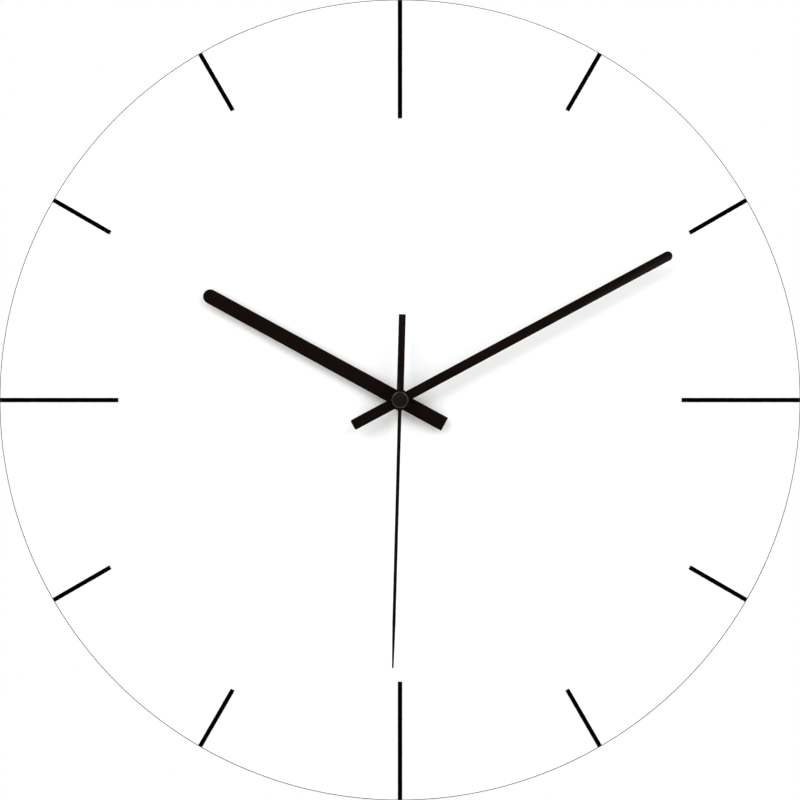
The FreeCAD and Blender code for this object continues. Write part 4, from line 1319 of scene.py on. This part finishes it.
@dataclass
class MovementCase:
    """The black moulded case: the rear half with its hanger, bay and knob well, and the front tray."""

    edge_round: float = 0.15
    mark_depth: float = 0.25
    arrow_radius: float = 8.4
    arrow_width: float = 0.7
    arrow_sweep: float = 70.0
    arrow_head: float = 1.3
    arrow_steps: int = 16
    sign_length: float = 3.4
    sign_width: float = 0.8
    sign_rise: float = 10.3
    sign_across: float = 22.0
    knob: Vector = field(default_factory=lambda: Extent.of("setting_knob").centre)

    def build(self) -> None:
        """Builds both halves with softened edges, and the setting arrows and signs cut in the back."""
        rear = remade_from("rear_case", "rear_case_moulding")
        for turn in (0, 180):
            combine(rear, self.arrow_tool(turn), Combine.CUT)
        battery = Extent.of("battery_sleeve")
        up = battery.centre.z + self.sign_rise * MM
        for across, upright in ((-self.sign_across, True), (self.sign_across, False)):
            self.cut_sign(rear, Vector((across * MM, 0, up)), upright)
        soften(rear, self.edge_round)
        hand_over(rear, Body.CASE, CASE_ABS, ["rear_case"])
        front = remade_from("front_case", "front_case_moulding")
        soften(front, self.edge_round)
        hand_over(front, Body.CASE, CASE_ABS, ["front_case"])

    def arrow_tool(self, turn: float) -> bpy.types.Object:
        """Makes one curved arrow beside the knob, as a cutting tool.

        Args:
            turn: Where the arrow starts round the knob, in degrees.

        Returns:
            The tool solid, in place.
        """
        deselect_all()
        bpy.ops.mesh.primitive_plane_add(
            size=self.arrow_width * MM, location=(0, 0, self.arrow_radius * MM),
            rotation=(0, QUARTER_TURN, 0),
        )
        arrow = new_primitive("arrow")
        with editing(arrow, "FACE"):
            bpy.ops.mesh.select_all(action="SELECT")
            bpy.ops.transform.resize(
                value=(1, self.mark_depth * 2 / self.arrow_width, 1), center_override=(0, 0, 0),
            )
            bpy.ops.mesh.spin(
                steps=self.arrow_steps, angle=math.radians(self.arrow_sweep), center=(0, 0, 0),
                axis=(0, 1, 0),
            )
            bpy.ops.mesh.select_all(action="SELECT")
            bpy.ops.mesh.remove_doubles(threshold=MERGE_MM * MM)
        face_outwards(arrow)
        deselect_all()
        bpy.ops.mesh.primitive_cylinder_add(
            vertices=3, radius=self.arrow_head * MM, depth=self.mark_depth * 2 * MM,
            location=(0, 0, self.arrow_radius * MM), rotation=(QUARTER_TURN, -QUARTER_TURN, 0),
        )
        combine(arrow, new_primitive("head"), Combine.JOIN)
        set_in_place(arrow, Vector((self.knob.x, 0, self.knob.z)), turn)
        return arrow

    def cut_sign(self, case: bpy.types.Object, place: Vector, plus: bool) -> None:
        """Cuts one polarity sign into the case's back.

        Args:
            case: The rear half.
            place: The sign's middle, on the back face.
            plus: True for a plus sign, False for a minus.
        """
        long, wide, deep = self.sign_length / 2 * MM, self.sign_width / 2 * MM, self.mark_depth * MM
        arms = [Vector((long, deep, wide))] + ([Vector((wide, deep, long))] if plus else [])
        for arm in arms:
            combine(case, block("sign", place - arm, place + arm), Combine.CUT)


@dataclass
class Movement:
    """The train, motor and circuit inside the case."""

    winding_bore: float = 1.92
    winding_sides: int = 48
    turns_shown: int = 44
    # How deep the groove between two turns is, as a share of their pitch.
    groove_share: float = 1 / 3

    def build(self) -> None:
        """Dresses the CAD pieces and builds the coil's turns."""
        finishes = {
            "second_arbor": ARBOR_STEEL, "minute_tube": TURNED_BRASS, "hour_wheel": WHITE_ACETAL,
            "second_wheel": WHITE_ACETAL, "motion_wheel": WHITE_ACETAL, "third_wheel": NATURAL_ACETAL,
            "intermediate_wheel": NATURAL_ACETAL, "minute_wheel": NATURAL_ACETAL,
            "rotor_pinion": NATURAL_ACETAL, "rotor_magnet": FERRITE, "middle_plate": PLATE_STYRENE,
            "stator": STATOR_STEEL, "coil_core": STATOR_STEEL, "coil_bobbin": BOBBIN_NYLON,
            "coil_leads": COPPER_WIRE, "circuit_board": BOARD_LAMINATE, "chip_blob": CHIP_RESIN,
            "quartz_crystal": NICKEL_PLATE, "positive_contact": CONTACT_NICKEL,
            "negative_contact": CONTACT_NICKEL,
        }
        for node, finish in finishes.items():
            dress(node, finish)
        self.build_winding()

    def build_winding(self) -> None:
        """Builds the coil's outer layer of turns, drawn coarser than its 0.1 mm wire."""
        extent = Extent.of("coil_winding")
        length = (extent.high.x - extent.low.x) / MM
        outer = (extent.high.z - extent.low.z) / 2 / MM
        pitch = length / self.turns_shown
        groove = outer - pitch * self.groove_share
        profile = [(self.winding_bore, 0.0), (groove, 0.0)]
        for turn in range(self.turns_shown):
            profile += [(outer, (turn + 1 / 2) * pitch), (groove, (turn + 1) * pitch)]
        profile.append((self.winding_bore, length))
        winding = turned("coil_winding_turns", profile, self.winding_sides, hollow=True)
        take_up(winding)
        bpy.ops.object.shade_smooth()
        place = Vector((extent.low.x, extent.centre.y, extent.centre.z))
        set_in_place(winding, place, LAID_OVER, Axis.UP)
        hand_over(winding, Body.CASE, COPPER_WIRE, ["coil_winding"])


@dataclass
class Studio:
    """The pale floor, the soft lights and the long-lens camera straight in front.

    Its sizes and places are in metres, but the lens and the sensor are in millimetres. The ambient light
    and the backdrop are grey levels by direction, from 0 towards the camera to 1 straight behind the clock.
    Each light has its place and its share of the key light's power.
    """

    lens: float = 200.0
    sensor: float = 36.0
    framing: float = 0.999
    view_depth: float = 50.0
    ambient: tuple[Point, ...] = ((0.0, 0.04), (0.07, 0.04), (0.24, 1.0), (0.55, 0.8), (1.0, 0.5))
    ambient_strength: float = 1.6
    backdrop: tuple[Point, ...] = ((0.0, 0.62), (0.965, 0.62), (0.994, 1.0))
    floor_drop: float = 0.55
    floor_radius: float = 5.3
    floor_sides: int = 96
    soft_box: float = 1.6
    key_power: float = 32.0
    lights: tuple[tuple[str, Place, float], ...] = (
        ("key_light", (-1.5, -1.9, 1.5), 1.0),
        ("fill_light", (1.6, -1.8, 1.2), 0.8),
        ("back_light", (0.6, 2.4, 1.6), 1.0),
    )

    def build(self) -> None:
        """Sets the world, the floor, the lights and the camera."""
        self.set_world()
        self.lay_floor()
        middle = (cad_low + cad_high) / 2
        for name, place, share in self.lights:
            self.hang_light(name, Vector(place), middle, self.key_power * share)
        self.place_camera()
        bpy.context.scene.view_settings.view_transform = "Standard"

    def set_world(self) -> None:
        """Makes a plain backdrop, white straight behind the clock, and light from all sides but the front.

        Only the camera sees the backdrop, and only the clock and the floor get the ambient light.
        """
        world = bpy.data.worlds.new("white_studio")
        bpy.context.scene.world = world
        world.use_nodes = True
        tree = world.node_tree
        tree.nodes.clear()
        seen = add_node(tree, "ShaderNodeLightPath").outputs["Is Camera Ray"]
        direction = add_node(tree, "ShaderNodeTexCoord").outputs["Generated"]
        across = add_node(tree, "ShaderNodeSeparateXYZ", {}, {"Vector": direction}).outputs["Y"]
        share = add_node(tree, "ShaderNodeMapRange", {"From Min": -1.0, "From Max": 1.0}, {"Value": across})
        lit, shown = [
            add_node(
                tree, "ShaderNodeBackground", {"Strength": strength},
                {"Color": self.levels(tree, share.outputs["Result"], stops)},
            ).outputs[0]
            for strength, stops in ((self.ambient_strength, self.ambient), (1.0, self.backdrop))
        ]
        mix = add_node(tree, "ShaderNodeMixShader", {}, {"Fac": seen, 1: lit, 2: shown})
        add_node(tree, "ShaderNodeOutputWorld", {}, {"Surface": mix.outputs[0]})

    def levels(self, tree: bpy.types.NodeTree, along: Socket, stops: Sequence[Point]) -> Socket:
        """Returns grey levels that change with a value from 0 to 1.

        Args:
            tree: The world's node tree.
            along: The value.
            stops: Each place on the value's range, with its level.

        Returns:
            The colour socket.
        """
        ramp = add_node(tree, "ShaderNodeValToRGB", {}, {"Fac": along})
        elements = ramp.color_ramp.elements
        for position, _ in stops[1:-1]:
            elements.new(position)
        for element, (position, level) in zip(elements, stops):
            element.position = position
            element.color = (level, level, level, 1.0)
        return ramp.outputs["Color"]

    def lay_floor(self) -> None:
        """Lays a plain pale floor well below the clock."""
        deselect_all()
        bpy.ops.mesh.primitive_circle_add(
            vertices=self.floor_sides, radius=self.floor_radius, fill_type="NGON",
            location=(0, 0, cad_low.z - self.floor_drop),
        )
        floor = new_primitive("studio_floor")
        floor.data.materials.append(FLOOR_PAINT.material())

    def hang_light(self, name: str, place: Vector, aim: Vector, power: float) -> None:
        """Hangs one square soft box that faces the clock.

        Args:
            name: The light's name.
            place: Where it hangs, in metres.
            aim: The point it faces.
            power: Its power in watts.
        """
        data = bpy.data.lights.new(name, "AREA")
        data.shape = "SQUARE"
        data.size = self.soft_box
        data.energy = power
        light = bpy.data.objects.new(name, data)
        light.location = place
        light.rotation_euler = (aim - place).to_track_quat("-Z", "Y").to_euler()
        bpy.context.scene.collection.objects.link(light)

    def place_camera(self) -> None:
        """Places the camera so that the dial fills the frame from edge to edge."""
        dial = Extent.of("dial_disc")
        distance = (dial.high.x - dial.low.x) * self.framing * self.lens / self.sensor
        data = bpy.data.cameras.new("camera")
        data.lens = self.lens
        data.sensor_width = self.sensor
        data.clip_end = self.view_depth
        camera = bpy.data.objects.new("camera", data)
        camera.location = (0, dial.low.y - distance, dial.centre.z)
        camera.rotation_euler = (QUARTER_TURN, 0, 0)
        bpy.context.scene.collection.objects.link(camera)
        bpy.context.scene.camera = camera


def main() -> None:
    """Builds the clock and the studio round it."""
    spindle = Vector((0, 0, Extent.of("dial_disc").centre.z))
    Studio().build()
    DialFace().build()
    FlatHand(
        "hour_hand_blade", "hour_hand", Body.HOUR, turn=298.6, reach=83.5, root_width=5.6, tip_width=5.4,
        tail_reach=19.0, tail_width=5.5, eye_radius=3.9, bore_radius=3.34,
    ).build(spindle)
    FlatHand(
        "minute_hand_blade", "minute_hand", Body.MINUTE, turn=61.75, reach=115.3, root_width=3.65,
        tip_width=3.6, tail_reach=20.0, tail_width=4.05, eye_radius=3.9, bore_radius=2.44, tail_round=0.6,
    ).build(spindle)
    SecondHand().build(spindle)
    HandBush("hour_bush_turned", "hour_hand_bush", Body.HOUR, inner=2.52).build(spindle)
    HandBush("minute_bush_turned", "minute_hand_bush", Body.MINUTE, inner=1.62).build(spindle)
    SettingKnob().build()
    BatteryCell().build()
    FoamPad().build(spindle)
    MovementCase().build()
    Movement().build()


if __name__ == "__main__":
    main()
